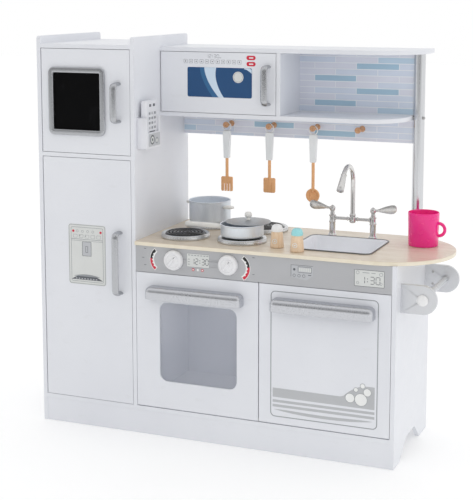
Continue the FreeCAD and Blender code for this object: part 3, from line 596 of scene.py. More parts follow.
def foot(low, high):
    """The middle of a box's underside."""
    return Vector(((low.x + high.x) / 2, (low.y + high.y) / 2, low.z))


def peg_x(number):
    """Where a utensil peg stands along X, counted from the left."""
    low, high = box["utensil_pegs"]
    head = 0.0083
    return low.x + head + (high.x - low.x - 2 * head) / 3 * number


# ------------------------------------------------------------------ prints
def make_dispenser():
    """The water dispenser panel stuck on the fridge door."""
    x0, x1, z0, z1 = left + 0.086, left + 0.1965, 0.3875, 0.549
    middle = (x0 + x1) / 2 - 0.001
    body, y = "fridge_door", door_y - SHEET

    def stick(name, key, shapes, lift=0.0, thick=LAYER):
        ink("dispenser_" + name, y - lift, shapes, body, key, thick=thick)

    stick("backing", "ink_cream", [("bar", x0, x1, z0, z1, 0.007)], -SHEET, SHEET)
    stick("lines", "ink_line", [
        ("hoop", x0 + 0.0012, x1 - 0.0012, z0 + 0.0012, z1 - 0.0012, 0.0062, 0.0011),
        ("hoop", x0 + 0.0075, x1 - 0.0075, z0 + 0.0075, z1 - 0.0075, 0.004, 0.0009),
        ("bar", x0 + 0.0085, x1 - 0.0085, z1 - 0.0405, z1 - 0.0393, 0),
        ("bar", x0 + 0.0085, x1 - 0.0085, z1 - 0.0445, z1 - 0.0437, 0)])
    keys = row(5, 0.0175, "hoop", x0 + 0.014, x0 + 0.0265, z1 - 0.0365, z1 - 0.0275, 0.0012, 0.0006)
    stick("keys", "ink_line", keys + row(4, 0.0155, "eye", x0 + 0.0265, z1 - 0.0185, 0.0034, 0.0007))
    stick("lights", "ink_red", [("disc", x, z1 - 0.0188, 0.0034) for x in (x0 + 0.0145, x1 - 0.0145)])
    stick("dots", "ink_dark", row(2, 0.0175, "disc", x0 + 0.034, z1 - 0.031, 0.0011))
    lever = (middle - 0.0135, middle + 0.0135, z1 - 0.0845, z1 - 0.046, 0.0012)
    stick("lever", "ink_grey", [("bar", *lever)], thick=SHEET)
    stick("lever_lines", "ink_dark", [
        ("hoop", *lever, 0.0008),
        ("hoop", middle - 0.0035, middle + 0.0035, z1 - 0.075, z1 - 0.058, 0.001, 0.0009)], SHEET)
    for name, key, low, rise, run, lift in (
            ("tray", "ink_dark", z0 + 0.0125, 0.0155, 0.046, 0.0),
            ("tray_top", "ink_line", z0 + 0.0215, 0.0058, 0.039, LAYER)):
        stations = []
        for share in shares(12):
            across = 2 * share - 1
            x = middle + across * run
            stations.append(((x, low), (x, low + 0.0004 + rise * (1 - across * across) * 0.9)))
        done(ribbon("dispenser_" + name, y - lift, LAYER, stations), body, key)
    slots = row(8, 0.0085, "bar", middle - 0.034, middle - 0.0295, z0 + 0.0143, z0 + 0.0168, 0)
    stick("tray_slots", "ink_grey", slots, LAYER)


def panel_ink(name, key, shapes, lift=0):
    """A print on the control panel, so many layers up."""
    ink(name, panel_y - lift * LAYER, shapes, "root", key)


def make_gauge(name, x, z_low, z_high, side):
    """A heat scale beside a knob: black at its head, red below, with white beads."""
    radius, middle_z = 0.034, (z_low + z_high) / 2
    swing = math.asin(min(1.0, (z_high - z_low) / 2 / radius))
    centre_x = x - side * radius

    def point(share, r):
        angle = swing * (1 - 2 * share)
        return centre_x + side * r * math.cos(angle), middle_z + r * math.sin(angle)

    def sector(label, key, start, stop, inner, outer, lift, steps=8):
        turns = [start + (stop - start) * share for share in shares(steps)]
        stations = [(point(turn, radius + inner), point(turn, radius + outer)) for turn in turns]
        done(ribbon(name + label, panel_y - lift * LAYER, LAYER, stations), "root", key)

    sector("_backing", "ink_white", -0.03, 1.03, -0.0085, 0.0035, 0, 12)
    sector("_black", "ink_black", 0.0, 0.46, -0.005, 0.0022, 1)
    sector("_red", "ink_red", 0.46, 1.0, -0.005, 0.0022, 1)
    beads = [("disc", *point(0.2 + 0.16 * step, radius - 0.0052), 0.0023) for step in range(5)]
    panel_ink(name + "_beads", "ink_white", beads, 2)


def make_gauges():
    """The two heat scales and the ticks beside them."""
    make_gauge("gauge_left", left + 0.3285, 0.447, 0.498, -1)
    make_gauge("gauge_right", left + 0.6005, 0.442, 0.498, 1)
    places = [(x, z) for x in (0.3085, 0.6095) for z in (0.4555, 0.4985)] + [(0.303, 0.4745)]
    ticks = [("bar", left + x, left + x + 0.006, z, z + 0.0012, 0) for x, z in places]
    panel_ink("gauge_ticks", "ink_dark", ticks)


def make_oven_clock():
    """The oven's clock with its keys, and the buttons below it."""
    x0, x1, z0, z1 = left + 0.4295, left + 0.4925, 0.4612, 0.4962
    panel_ink("oven_clock_face", "ink_cream", [("bar", x0, x1, z0, z1, 0.0015)])
    figures = clock_digits("12:30", x0 + 0.0135, z0 + 0.0075, 0.0072, 0.0148, 0.0035, 0.0015)
    panel_ink("oven_clock_digits", "ink_dark", figures, 1)
    marks = row(7, 0.0085, "bar", x0 + 0.004, x0 + 0.0095, z1 - 0.0052, z1 - 0.0034, 0)
    for z in (z0 + 0.006, z0 + 0.0125, z0 + 0.019):
        marks.append(("bar", x0 + 0.0035, x0 + 0.0085, z, z + 0.0015, 0))
    marks.append(("hoop", x0, x1, z0, z1, 0.0015, 0.0006))
    panel_ink("oven_clock_marks", "ink_line", marks, 1)
    for number, (x, key) in enumerate(((0.4475, "ink_red"), (0.4605, "ink_cream"), (0.473, "ink_red"))):
        panel_ink("oven_button_%d" % number, key, [("disc", left + x, 0.4545, 0.0036)])
        panel_ink("oven_button_core_%d" % number, "ink_white", [("disc", left + x, 0.4545, 0.0019)], 1)


def make_wash_panel():
    """The dishwasher's keys on the control panel."""
    x0, x1, z0, z1 = left + 0.7116, left + 0.7695, 0.4535, 0.4905
    bend = x1 - 0.017
    edge = [((x0, z0 + 0.006), (x0, z1)), ((bend, z0), (bend, z1)), ((x1, z0 + 0.0125), (x1, z1))]
    done(ribbon("wash_panel", panel_y, LAYER, edge), "root", "ink_grey")
    panel_ink("wash_marks", "ink_dark", [
        ("hoop", x0 + 0.0185, x1 - 0.004, z0 + 0.0185, z1 - 0.0035, 0.001, 0.0008),
        ("bar", x0 + 0.0005, x1 - 0.0005, z1 - 0.0009, z1 - 0.0001, 0),
        ("bar", x0 + 0.0002, x0 + 0.001, z0 + 0.007, z1 - 0.001, 0),
        *row(3, 0.0125, "eye", x0 + 0.009, z0 + 0.0105, 0.0038, 0.0008),
        ("disc", x0 + 0.009, z1 - 0.0115, 0.0032),
        ("bar", x1 - 0.0125, x1 - 0.0045, z0 + 0.0125, z0 + 0.0142, 0)], 1)
    lights = row(6, 0.0055, "bar", x0 + 0.0215, x0 + 0.0255, z0 + 0.0215, z1 - 0.0065, 0.0005)
    panel_ink("wash_lights", "ink_cream", lights, 1)


def make_timer():
    """The timer at the control panel's right end."""
    x0, x1, z0, z1 = left + 0.8745, left + 0.950, 0.4517, 0.4930
    panel_ink("timer_face", "ink_cream", [("bar", x0, x1, z0, z1, 0.002)])
    shapes = clock_digits("1:30", x0 + 0.0165, z0 + 0.0075, 0.0098, 0.0175, 0.0045, 0.0014)
    panel_ink("timer_digits", "ink_dark", shapes + [("hoop", x0, x1, z0, z1, 0.002, 0.0009)], 1)
    panel_ink("timer_marks", "ink_line", [
        ("eye", x0 + 0.0085, z1 - 0.0075, 0.0042, 0.0008), ("eye", x1 - 0.0085, z1 - 0.0085, 0.0045, 0.0008),
        ("eye", x0 + 0.0085, z0 + 0.0085, 0.0034, 0.0008),
        ("bar", x0 + 0.021, x0 + 0.038, z1 - 0.0075, z1 - 0.0062, 0),
        ("bar", x0 + 0.043, x0 + 0.053, z1 - 0.0075, z1 - 0.0062, 0),
        ("eye", x1 - 0.0085, z0 + 0.0095, 0.0034, 0.0008)], 1)


def make_microwave_prints():
    """Window picture, keys and lights on the microwave door."""
    film, y = 0.00015, micro_y - SHEET
    x0, x1, z0, z1 = left + 0.364, left + 0.5465, 0.8825, 0.9605

    def stick(name, y, key, shapes, thick=LAYER):
        ink("micro_" + name, y, shapes, "microwave_door", key, thick=thick)

    def paint(name, key, lift, stations):
        strip = ribbon("micro_window_" + name, y - lift, film, stations)
        done(strip, "microwave_door", key)

    stick("window", micro_y, "ink_deep", [("bar", x0, x1, z0, z1, 0.0045)], SHEET)
    glow, band, corner = [], [], []
    for share in shares(12):
        z = z0 + (z1 - z0) * share
        lean = 0.0405 * (1 - share) ** 1.7
        glow.append(((x0 + 0.036 + lean * 0.9, z), (x0 + 0.056 + lean, z)))
        band.append(((x0 + 0.0485 + lean, z), (x0 + 0.0705 + lean * 0.82 + 0.012 * share * share, z)))
    for share in shares(8):
        x = x1 - 0.0215 + 0.021 * share
        drop = 0.0003 + 0.0035 * max(0.0, share - 0.75) * 4
        corner.append(((x, z1 - 0.0025 - 0.011 * share ** 1.6), (x, z1 - drop)))
    paint("glow", "ink_mid", 0, glow)
    paint("band", "ink_sky", film, band)
    moon = (left + 0.5083, 0.9365)
    stick("window_moon", y - film, "ink_cream", [("disc", *moon, 0.0147)], 0.0002)
    stick("moon_ring", y - film - 0.0002, "ink_line", [("eye", *moon, 0.0125, 0.0008)], 0.0001)
    paint("corner", "ink_sky", film, corner)
    keys = row(11, 0.0153, "hoop", left + 0.3535, left + 0.364, 0.9705, 0.9808, 0.0016, 0.0008)
    stick("keys", micro_y, "ink_line", keys)
    stick("key_marks", micro_y, "ink_dark", row(11, 0.0153, "disc", left + 0.35875, 0.97565, 0.0015))
    shapes = clock_digits("12:30", left + 0.418, 0.9855, 0.0055, 0.0088, 0.0028, 0.0010)
    stick("display", micro_y, "ink_line", shapes + [("bar", left + 0.455, left + 0.4605, 0.9855, 0.9865, 0)])
    for name, y, key, x, half_x, half_z, bend, thick in (
            ("lights", micro_y, "ink_red", 0.544, 0.0125, 0.0056, 0.0053, SHEET),
            ("light_cores", y, "ink_white", 0.5445, 0.006, 0.0016, 0.0014, LAYER)):
        pair = [("bar", left + x - half_x, left + x + half_x, z - half_z, z + half_z, bend)
                for z in (0.9875, 0.9715)]
        stick(name, y, key, pair, thick)


def make_tiles():
    """The strip-tile print on the backsplash: a running bond in four pale tints."""
    low, high = box["backsplash"]
    row_height, length, joint, border = 0.0164, 0.1152, 0.0021, 0.0006
    bond_x = left + 0.7235
    top_row = 0.9795 + 2 * row_height
    tinted = {"tile_sea": ((2, 0), (4, -1), (6, 0), (8, -1), (10, 0), (13, -1), (12, -2)),
              "tile_sky": ((3, -3), (1, 1), (9, 1), (13, -5), (7, -2), (1, -2)),
              "tile_mist": ((5, 1), (13, 1), (12, 1), (11, 0))}
    strong = {place: key for key, places in tinted.items() for place in places}
    plain = ("tile_pearl", "tile_mist", "tile_pearl", "tile_pearl", "tile_mist")
    groups = {}
    for line in range(-1, 15):
        middle = top_row - (line + 1) * row_height
        z0 = max(middle - (row_height - joint) / 2, low.z + border)
        z1 = min(middle + (row_height - joint) / 2, high.z - border)
        if z1 - z0 < 0.002:
            continue
        shift = 0.0 if (line + (line > 9)) % 2 else length / 2
        for column in range(-5, 3):
            x0 = bond_x + shift + column * length + joint / 2
            x1 = min(x0 + length - joint, high.x - border)
            x0 = max(x0, low.x + border)
            if x1 - x0 < 0.004:
                continue
            key = strong.get((line, column), plain[(line * 7 + column * 5 + line * column) % 5])
            groups.setdefault(key, []).append(("bar", x0, x1, z0, z1, 0))
    for key, shapes in groups.items():
        ink("backsplash_" + key, low.y, shapes, "root", key, thick=0.0003)


def make_dishwasher_prints():
    """The framed water-line picture on the dishwasher door."""
    body, y = "dishwasher_door", door_y
    x0, x1, z0, z1 = left + 0.6588, left + 0.9372, 0.0958, 0.4202
    ink("wash_door_frame", y, [("hoop", x0, x1, z0, z1, 0.012, 0.0022)], body, "ink_line")
    x0, x1, low, high = x0 + 0.0062, x1 - 0.0072, z0 + 0.0512, z0 + 0.0748
    wave, taper = [], []
    for share in shares(30):
        x = x0 + (x1 - x0) * share
        hump = min(1.0, max(0.0, (share - 0.69) / 0.31) * 1.28)
        rise = 0.0335 * (1 - (1 - hump) ** 2)
        wave.append(((x, low - 0.0012 * share), (x, high - 0.0015 * share + rise)))
    done(ribbon("wash_door_wave", y, LAYER, wave), body, "ink_band")
    for number, z in enumerate((z0 + 0.0378, z0 + 0.0258)):
        ink("wash_door_stripe_%d" % number, y, [("bar", x0, x1, z, z + 0.0066, 0)], body, "ink_band")
    for share in shares(16):
        x = x0 + 0.004 + (x1 - x0 - 0.008) * share
        half = 0.0036 * max(0.0, 1 - (2 * share - 1) ** 4) + 0.00015
        middle = z0 + 0.0193 - 0.0055 * math.sin(share * PI)
        taper.append(((x, middle - half), (x, middle + half)))
    done(ribbon("wash_door_stripe_low", y, LAYER, taper), body, "ink_band")
    bubbles = [(x1 - 0.0625, low + 0.022, 0.0125), (x1 - 0.0345, low + 0.0205, 0.0165),
               (x1 - 0.0185, low + 0.0405, 0.0105), (x1 - 0.0475, low + 0.0445, 0.0062),
               (x1 - 0.0305, low + 0.0555, 0.0068)]
    ink("wash_door_bubbles", y - LAYER, [("disc", *bubble) for bubble in bubbles], body, "ink_white")
    rims = [("eye", *bubble, 0.0011) for bubble in bubbles]
    ink("wash_door_bubble_rims", y - 2 * LAYER, rims, body, "ink_line", thick=0.0001)


# ------------------------------------------------------------------ hardware, outlines in millimetres
def make_knobs():
    """Two round knobs, each with a raised grip and a pointer."""
    tilt = math.radians(38)
    for body in ("knob_left", "knob_right"):
        low, high = box[body]
        middle, face = (low + high) / 2, low.y
        r = (high.z - low.z) / 2 / MM
        disc = [(4, -8.5), (4, 0.3), (r - 1.2, 0.3), (r, 1.4), (r - 0.4, 7.5), (r - 1.6, 11.2),
                (r - 4.8, 13.5), (r - 7.5, 13.9), (r - 8.5, 13.1), (r - 9.8, 13.1), (r - 10.8, 14.1),
                (6, 15.2)]
        centre = (middle.x, panel_y, middle.z)
        lathe(body + "_disc", centre, disc, body, "knob", [body], 56, FACING, 40)
        half = r * MM * 0.68
        grip = block(body + "_grip", (middle.x - 0.0052, face, middle.z - half),
                     (middle.x + 0.0052, panel_y - 0.011, middle.z + half))
        pick("VERT", lambda v: v.co.y < face + 1e-4)
        stretch((0.55, 1, 0.9), middle)
        turn_about(tilt, "Y", middle)
        pick("VERT", lambda v: v.co.y > face + 1e-4)
        turn_about(tilt, "Y", middle)
        done(grip, body, "knob", edge=0.0022, steps=4)
        line = block(body + "_pointer", (middle.x - 0.0007, face, middle.z + half * 0.45),
                     (middle.x + 0.0007, face + 0.0006, middle.z + half * 0.86))
        turn_about(tilt, "Y", middle)
        done(line, body, "ink_line")


def make_hob():
    """Burner rings and ridged black plates."""
    for number in range(1, 5):
        node = "burner_ring_%d" % number
        low, high = box[node]
        r, h = (high.x - low.x) / 2 / MM, (high.z - low.z) / MM
        inner = r - 10
        pan = [(inner, 0), (r - 1.5, 0), (r - 0.4, 0.6), (r, 2), (r - 0.2, 7.2), (r - 1, 8), (r - 0.6, 9.2),
               (r - 1.1, 10.8), (r - 2.6, h - 0.1), (r - 4.2, h), (r - 5.6, h - 0.9), (r - 7.2, h - 1.9),
               (r - 8.4, h - 2), (inner + 0.3, h - 3), (inner, h - 4.5), (inner, 0)]
        lathe("burner_pan_%d" % number, foot(low, high), pan, "root", "ring", [node], 72)
        outer, turns = inner - 0.4, 5
        pitch = (outer - 6) / turns
        slope = ((0.46, 0), (0.36, 0.6), (0.2, 0.93))
        ridge = (*slope, (0, 1), *((-offset, rise) for offset, rise in reversed(slope)))
        plate_outline = [(outer, 1), (outer, 8.5)]
        for turn in range(turns):
            crest = outer - pitch * (turn + 0.5)
            for offset, rise in ridge:
                plate_outline.append((crest + offset * pitch * 0.92, 9 + rise * 5))
        plate_outline += [(5.5, 9.2), (5, 12.5), (3, 13.6), (0, 13.8)]
        lathe("burner_plate_%d" % number, foot(low, high), plate_outline, "root", "coil",
              ["burner_coils"] if number == 1 else (), 72)


def make_sink():
    """A white bowl pressed in one sheet, under a narrow silver rim darkened in painted shade to draw the
    shadow line round the bowl.
    """
    low, high = box["sink_basin"]
    top, sheet, rim = high.z, 0.0022, 0.0028
    middle = ((low.x + high.x) / 2, (low.y + high.y) / 2, top)
    bowl = rounded_tray("sink_bowl", low.x + 0.002, high.x - 0.002, low.y + 0.002, high.y - 0.002,
                        top - 0.0012, 0.019)
    bpy.ops.mesh.inset(thickness=0.0055, depth=0)
    for drop, scale in ((0.004, (0.985, 0.985, 1)), (0.046, (0.965, 0.96, 1)), (0.0085, (0.95, 0.94, 1))):
        pull((0, 0, -drop), scale, middle)
    bpy.ops.mesh.inset(thickness=0.012, depth=0)
    modifier(bowl, "SOLIDIFY", thickness=sheet, offset=-1.0)
    bevel(bowl, sheet, 3, 40)
    done(bowl, "root", "basin", ["sink_basin"], angle=40)
    painted_shade_rim = rounded_tray("sink_rim", low.x, high.x, low.y, high.y, top - rim, 0.021)
    bpy.ops.mesh.inset(thickness=0.0036, depth=0)
    bpy.ops.mesh.delete(type="FACE")
    bpy.ops.mesh.select_all(action="SELECT")
    pull((0, 0, rim))
    # painted shade: the rim takes the darkened silver that draws the bowl's shadow line
    done(painted_shade_rim, "root", "painted_shade_rim", edge=0.0009, steps=3)
    drain = [(13, -1), (13, 0.6), (11.8, 1.2), (9.2, 1), (8.8, 0.4), (3, 0.4), (2.6, 1.6), (1.2, 2.2)]
    place = foot(low, high) + Vector((0, 0, 0.0042))
    lathe("sink_drain", place, drain, "root", "handle", angle=45)


def make_bridge(ends_x, y, flange, hub_x, bridge_z):
    """The faucet's two posts, the pipe between them and the hub in its middle."""
    post = [(flange, 0), (flange, 2.2), (10.8, 4), (9.4, 5.8), (8.8, 8.5), (8, 12.5), (8, 34.5), (9.2, 35.5),
            (9.6, 36.8), (9.2, 38.1), (7.8, 39.2), (7.6, 50.5), (9, 51.5), (9.4, 53), (9, 54.5), (6.4, 55.6),
            (6, 61.8), (5.2, 62.8)]
    taller = 65 / 63
    post = [(r, h * taller) for r, h in post]
    for side, x in zip(("left", "right"), ends_x):
        lathe("faucet_post_" + side, (x, y, counter_z), post, "root", "nickel",
              ["faucet_base"] if side == "left" else ())
    half = (ends_x[1] - ends_x[0]) / 2 / MM
    pipe = [(4.5, 6 - half), (6.2, 6.6 - half), (6.6, 8.2 - half), (6.2, 9.8 - half), (4.5, 10.6 - half),
            (4.2, 14 - half), (4.2, -16), (5, -15.4), (5.6, -13.6), (5, -11.8), (4.2, -11)]
    pipe += [(r, -h) for r, h in reversed(pipe)]
    centre = (hub_x, y, bridge_z)
    lathe("faucet_cross_pipe", centre, pipe, "root", "nickel", (), 28, ALONG_X)
    hub = [(4.5, -10.8), (6.8, -10), (8.6, -7.8), (9, -5), (8.6, 3), (7.4, 6.2), (8.2, 7.2), (8.2, 8.6),
           (7, 9)]
    lathe("faucet_hub", centre, hub, "root", "nickel")


def make_spout(x, y, z):
    """The gooseneck on its collar, ending in a nozzle."""
    radius, collar, bend, arc = 0.0062, 0.0088, 0.046, math.radians(140)
    bend_z = box["faucet_spout"][1].z - 0.0525
    spout = round_start("faucet_gooseneck", collar, (x, y, z), 36)
    for rise, ratio in ((0.0022, 1.0), (0.0014, 0.86), (0.003, radius / collar / 0.86)):
        z += rise
        pull((0, 0, rise), (ratio, ratio, 1), (x, y, z))
    pull((0, 0, bend_z - z))
    bpy.ops.mesh.spin(steps=26, angle=-arc, center=(x, y - bend, bend_z), axis=(1, 0, 0))
    heading = Vector((0, -math.sin(arc), math.cos(arc)))
    place = Vector((x, y - bend + bend * math.cos(arc), bend_z + bend * math.sin(arc)))
    size = radius / MM
    for run, new in ((0.6, 7.4), (2.2, 7.8), (0.6, 7.1), (12, 8), (20, 9.2), (8, 9.5), (1.2, 8.8), (0.8, 8.8),
                     (0.8, 9.4), (2.8, 9.4), (0.8, 8.6)):
        place = place + heading * run * MM
        pull(heading * run * MM, (new / size,) * 3, place)
        size = new
    bpy.ops.mesh.edge_face_add()
    bpy.ops.mesh.inset(thickness=0.002, depth=0)
    pull(heading * -0.002)
    done(spout, "faucet_spout", "nickel", ["faucet_spout"], angle=50)


def make_lever(node, x, y, way):
    """A ball on its post, and a flat paddle that points outwards and a little up."""
    tilt, ball_z = math.radians(8), counter_z + 0.0728
    ball = [(4, -7.5), (6.2, -6.2), (7.8, -3.6), (8.4, 0), (7.8, 3.4), (6, 6), (3.6, 7.8), (3, 8.4), (2.6, 9),
            (0, 9.4)]
    lathe(node + "_ball", (x, y, ball_z), ball, node, "nickel", [node], 36, angle=60)
    stations = []
    for reach, below, above in (
            (6, 3, 3), (12, 3.1, 3.1), (17, 4, 4.2), (24, 6, 6.4), (32, 8.3, 8.7), (41, 10.6, 10.5),
            (50, 12, 11.6), (56, 11.4, 11.2), (60.5, 9, 8.8), (62.8, 5.8, 5.8), (63.6, 2.2, 2.2)):
        along, z = x + way * reach * MM * math.cos(tilt), ball_z + reach * MM * math.sin(tilt)
        stations.append(((along, z - below * MM), (along, z + above * MM)))
    paddle = ribbon(node + "_paddle", y + 0.0024, 0.0048, stations)
    done(paddle, node, "nickel", edge=0.0016, steps=3, angle=40)


def make_faucet():
    """Bridge faucet: two posts, cross pipe, gooseneck spout and paddle levers."""
    low, high = box["faucet_base"]
    y, flange = (low.y + high.y) / 2, (high.y - low.y) / 2
    ends_x = (low.x + flange, high.x - flange)
    hub_x, bridge_z = sum(ends_x) / 2, counter_z + 0.048
    make_bridge(ends_x, y, flange / MM, hub_x, bridge_z)
    make_spout(hub_x, y, bridge_z + 0.0093)
    make_lever("faucet_lever_left", ends_x[0], y, -1)
    make_lever("faucet_lever_right", ends_x[1], y, 1)


def make_pegs():
    """Turned pegs under the lower shelf."""
    low, high = box["utensil_pegs"]
    face = box["backsplash"][0].y
    tip = (face - low.y) / MM
    outline = [(3, -4), (3, 0), (8, 0), (8.2, 0.8), (7.8, 2.2), (6, 4), (4.4, 5.2), (4, 8), (3.8, 20),
               (4, tip - 12.5), (4.6, tip - 10), (6.6, tip - 8.8), (8.1, tip - 7.2), (8.3, tip - 5),
               (8.1, tip - 2.6), (7, tip - 1), (5.4, tip - 0.2), (3, tip - 0.4), (0, tip - 0.6)]
    for number in range(4):
        place = (peg_x(number), face, (low.z + high.z) / 2)
        lathe("peg_%d" % (number + 1), place, outline, "root", "peg",
              ["utensil_pegs"] if number == 0 else (), 36, FACING)


def make_utensil(node, x, y, shaft_low):
    """A loop, a pale sleeve, a wooden shaft and a head, hanging from a peg."""
    low, high = box[node]
    ring_z = high.z - 0.0130
    loop = round_start(node + "_loop", 0.0014, (x, y, ring_z + 0.0115), 12, ALONG_X, "NOTHING")
    bpy.ops.mesh.spin(steps=40, angle=2 * PI, center=(x, y, ring_z), axis=(0, 1, 0))
    done(loop, node, "sleeve", [node], angle=60)
    top = ring_z - 0.0105
    sleeve = block(node + "_sleeve", (x - 0.0105, y - 0.0055, top - 0.002), (x + 0.0105, y + 0.0055, top))
    pick("FACE", lambda f: f.normal.z < -0.9)
    for run, ratio in ((0.006, 1.02), (0.022, 0.93), (0.024, 0.90), (0.018, 0.93), (0.0035, 0.92)):
        top -= run
        pull((0, 0, -run), (ratio, 0.985, 1), (x, y, top - 0.002))
    pick("FACE", lambda f: f.normal.z > 0.9)
    stretch((0.72, 0.8, 1), (x, y, top))
    done(sleeve, node, "sleeve", edge=0.0026, steps=4, angle=25)
    top, end = (top + 0.004) / MM, shaft_low / MM
    shaft = [(4.2, top), (4.2, end + 10), (4.4, end - 6)]
    lathe(node + "_shaft", (x, y, 0), shaft, node, "utensil", steps=24)
    if node == "utensil_ladle":
        bowl = [(0, -4.8), (9, -4.7), (15, -3.6), (18.2, -1.6), (19, 1.2), (18.8, 3.6), (17.6, 4.8),
                (16.2, 4.6), (14.6, 3), (11.6, 0.6), (7, -1), (0, -1.6)]
        place = (x, y, low.z + 0.019)
        lathe(node + "_bowl", place, bowl, node, "utensil", (), 48, FACING, 60)
        return
    head = plate(node + "_blade", x - 0.0165, x + 0.0165, low.z, low.z + 0.040, y + 0.003, 0.006, 0.0035)
    if node == "utensil_turner":
        for slot_x in (x - 0.00825, x, x + 0.00825):
            cut_out(head, (slot_x - 0.0015, y - 0.01, low.z - 0.01),
                    (slot_x + 0.0015, y + 0.01, low.z + 0.021))
    done(head, node, "utensil", edge=0.0007)


def make_utensils():
    """Turner, spatula and ladle on the first three pegs."""
    y = box["backsplash"][0].y - 0.034
    low, high = box["utensil_pegs"]
    for number, (node, drop) in enumerate((
            ("utensil_turner", 0.147), ("utensil_spatula", 0.144), ("utensil_ladle", 0.165))):
        make_utensil(node, peg_x(number), y, (low.z + high.z) / 2 - drop)


def make_phone_holder():
    """The telephone's holder: a box with an open front over a lip."""
    low, high = box["phone_cradle"]
    wall, back, lip, border = 0.008, 0.006, 0.004, 0.0035
    size, middle, lean = high - low, (low + high) / 2, (back - lip) / 2
    cradle = block("phone_holder", low, high)
    pick("FACE", lambda f: f.normal.z > 0.9)
    bpy.ops.mesh.inset(thickness=border, depth=0)
    hollow = ((size.x - back - lip) / (size.x - 2 * border), (size.y - 2 * wall) / (size.y - 2 * border), 1)
    stretch(hollow, (middle.x + lean, middle.y, high.z))
    bpy.ops.transform.translate(value=(lean, 0, 0))
    rest()
    bpy.context.view_layer.objects.active = cradle
    bpy.ops.object.mode_set(mode="EDIT")
    pick("FACE", lambda f: f.normal.z > 0.9 and abs(f.calc_center_median().y - middle.y) < 0.002
         and f.calc_area() > 0.0008)
    pull((0, 0, 0.008 - size.z))
    cut_out(cradle, (high.x - 0.012, low.y + wall, low.z + 0.042),
            (high.x + 0.01, high.y - wall, high.z + 0.01))
    done(cradle, "root", "phone", ["phone_cradle"], edge=0.0016, steps=3)


def make_handset():
    """The telephone's handset with its keys and marks."""
    body = "phone_handset"
    low, high = box[body]
    x, middle_y = high.x - 0.0002, (low.y + high.y) / 2
    done(block("phone_shell", low, high), body, "phone", [body], edge=0.0042, steps=5)
    for number in range(12):
        y, z = middle_y + (number % 3 - 1) * 0.0155, low.z + 0.0445 + number // 3 * 0.0125
        key = block("phone_key_%02d" % (number + 1), (x - 0.0004, y - 0.0044, z - 0.0032),
                    (x + 0.0014, y + 0.0044, z + 0.0032))
        done(key, body, "ink_line" if number % 5 else "ink_grey", edge=0.0007)
    for number, (y, z, half, tall) in enumerate((
            (middle_y - 0.011, high.z - 0.0125, 0.0055, 0.0035),
            (middle_y + 0.011, high.z - 0.0125, 0.0055, 0.0035), (middle_y, low.z + 0.0335, 0.016, 0.0026))):
        mark = block("phone_mark_%d" % number, (x - 0.0002, y - half, z - tall),
                     (x + 0.0005, y + half, z + tall))
        done(mark, body, "ink_dark", edge=0.0004)


def make_phone_label():
    """The printed label on the holder's lip, with two round dials."""
    low, high = box["phone_cradle"]
    middle_y = (low.y + high.y) / 2
    sheet = 0.0003
    label = block("phone_label", (high.x, low.y + 0.010, low.z + 0.005),
                  (high.x + sheet, high.y - 0.006, low.z + 0.038))
    done(label, "root", "ink_grey")
    for name, offset, z, radius, key, lift in (
            ("a", -0.010, 0.022, 12.5, "ink_dark", 0), ("b", -0.010, 0.022, 8.5, "ink_cream", 1),
            ("c", -0.010, 0.022, 4, "ink_dark", 2), ("d", 0.016, 0.018, 8.8, "ink_line", 0),
            ("e", 0.016, 0.018, 4.8, "ink_cream", 1)):
        place = (high.x + sheet + lift * 0.00015, middle_y + offset, low.z + z)
        disc = [(radius, 0), (radius, 0.15), (radius / 2, 0.15)]
        lathe("phone_label_" + name, place, disc, "root", key, (), 28, ALONG_X, 35)


def make_pots():
    """The stock pot and the pan: thin round vessels with a rolled rim."""
    for node in ("stock_pot", "sauce_pan"):
        low, high = box[node]
        r, h = (high.x - low.x) / 2 / MM - 1.5, (high.z - low.z) / MM
        outline = [(4, 0), (r - 8, 0), (r - 4.2, 0.6), (r - 1.4, 2.2), (r - 0.2, 5.2), (r, 9), (r, h - 5.2),
                   (r + 0.2, h - 4.2), (r + 1.1, h - 3), (r + 1.5, h - 1.7), (r + 1.2, h - 0.5), (r + 0.3, h),
                   (r - 1, h - 0.3), (r - 1.8, h - 1.4), (r - 2, h - 3), (r - 2.1, 9), (r - 3.2, 4.5),
                   (r - 6.2, 2.8), (r - 12, 2.4), (4, 2.4)]
        lathe(node + "_body", foot(low, high), outline, node, "pot", [node], 80, angle=45)


def make_pot_grips():
    """The stock pot's two stub grips and the pan's long one."""
    low, high = box["stock_pot"]
    r, z = (high.x - low.x) / 2 - 0.0015, high.z - low.z - 0.0145
    for number, angle in enumerate((-20, 160)):
        grip = block("stock_pot_grip_%d" % (number + 1), (r - 0.001, -0.0095, z - 0.0042),
                     (r + 0.006, 0.0095, z + 0.0042))
        pick("FACE", lambda f: f.normal.x > 0.9)
        pull((0.012, 0, 0), (1, 1.12, 0.9), (r + 0.018, 0, z))
        pull((0.0085, 0, 0), (1, 0.8, 0.8), (r + 0.0265, 0, z))
        rest()
        grip.location = foot(low, high)
        grip.rotation_euler = (0, 0, math.radians(angle))
        apply_place(grip)
        stands_for = ["stock_pot_grips"] if number == 0 else ()
        done(grip, "stock_pot", "grip", stands_for, edge=0.0028, steps=4, angle=30)
    low, high = box["sauce_pan_grip"]
    y, z, pan_x = (low.y + high.y) / 2, (low.z + high.z) / 2, box["sauce_pan"][0].x
    waist = low.x + 0.097
    grip = block("sauce_pan_bar", (low.x, low.y + 0.0008, low.z + 0.0006),
                 (low.x + 0.085, high.y - 0.0008, high.z - 0.0006))
    pick("FACE", lambda f: f.normal.x > 0.9)
    pull((0.012, 0, 0), (1, 0.86, 0.86), (waist, y, z))
    pull((pan_x + 0.0035 - waist, 0, 0), (1, 0.95, 0.95), (pan_x, y, z))
    done(grip, "sauce_pan", "grip", ["sauce_pan_grip"], edge=0.0028, steps=4, angle=25)


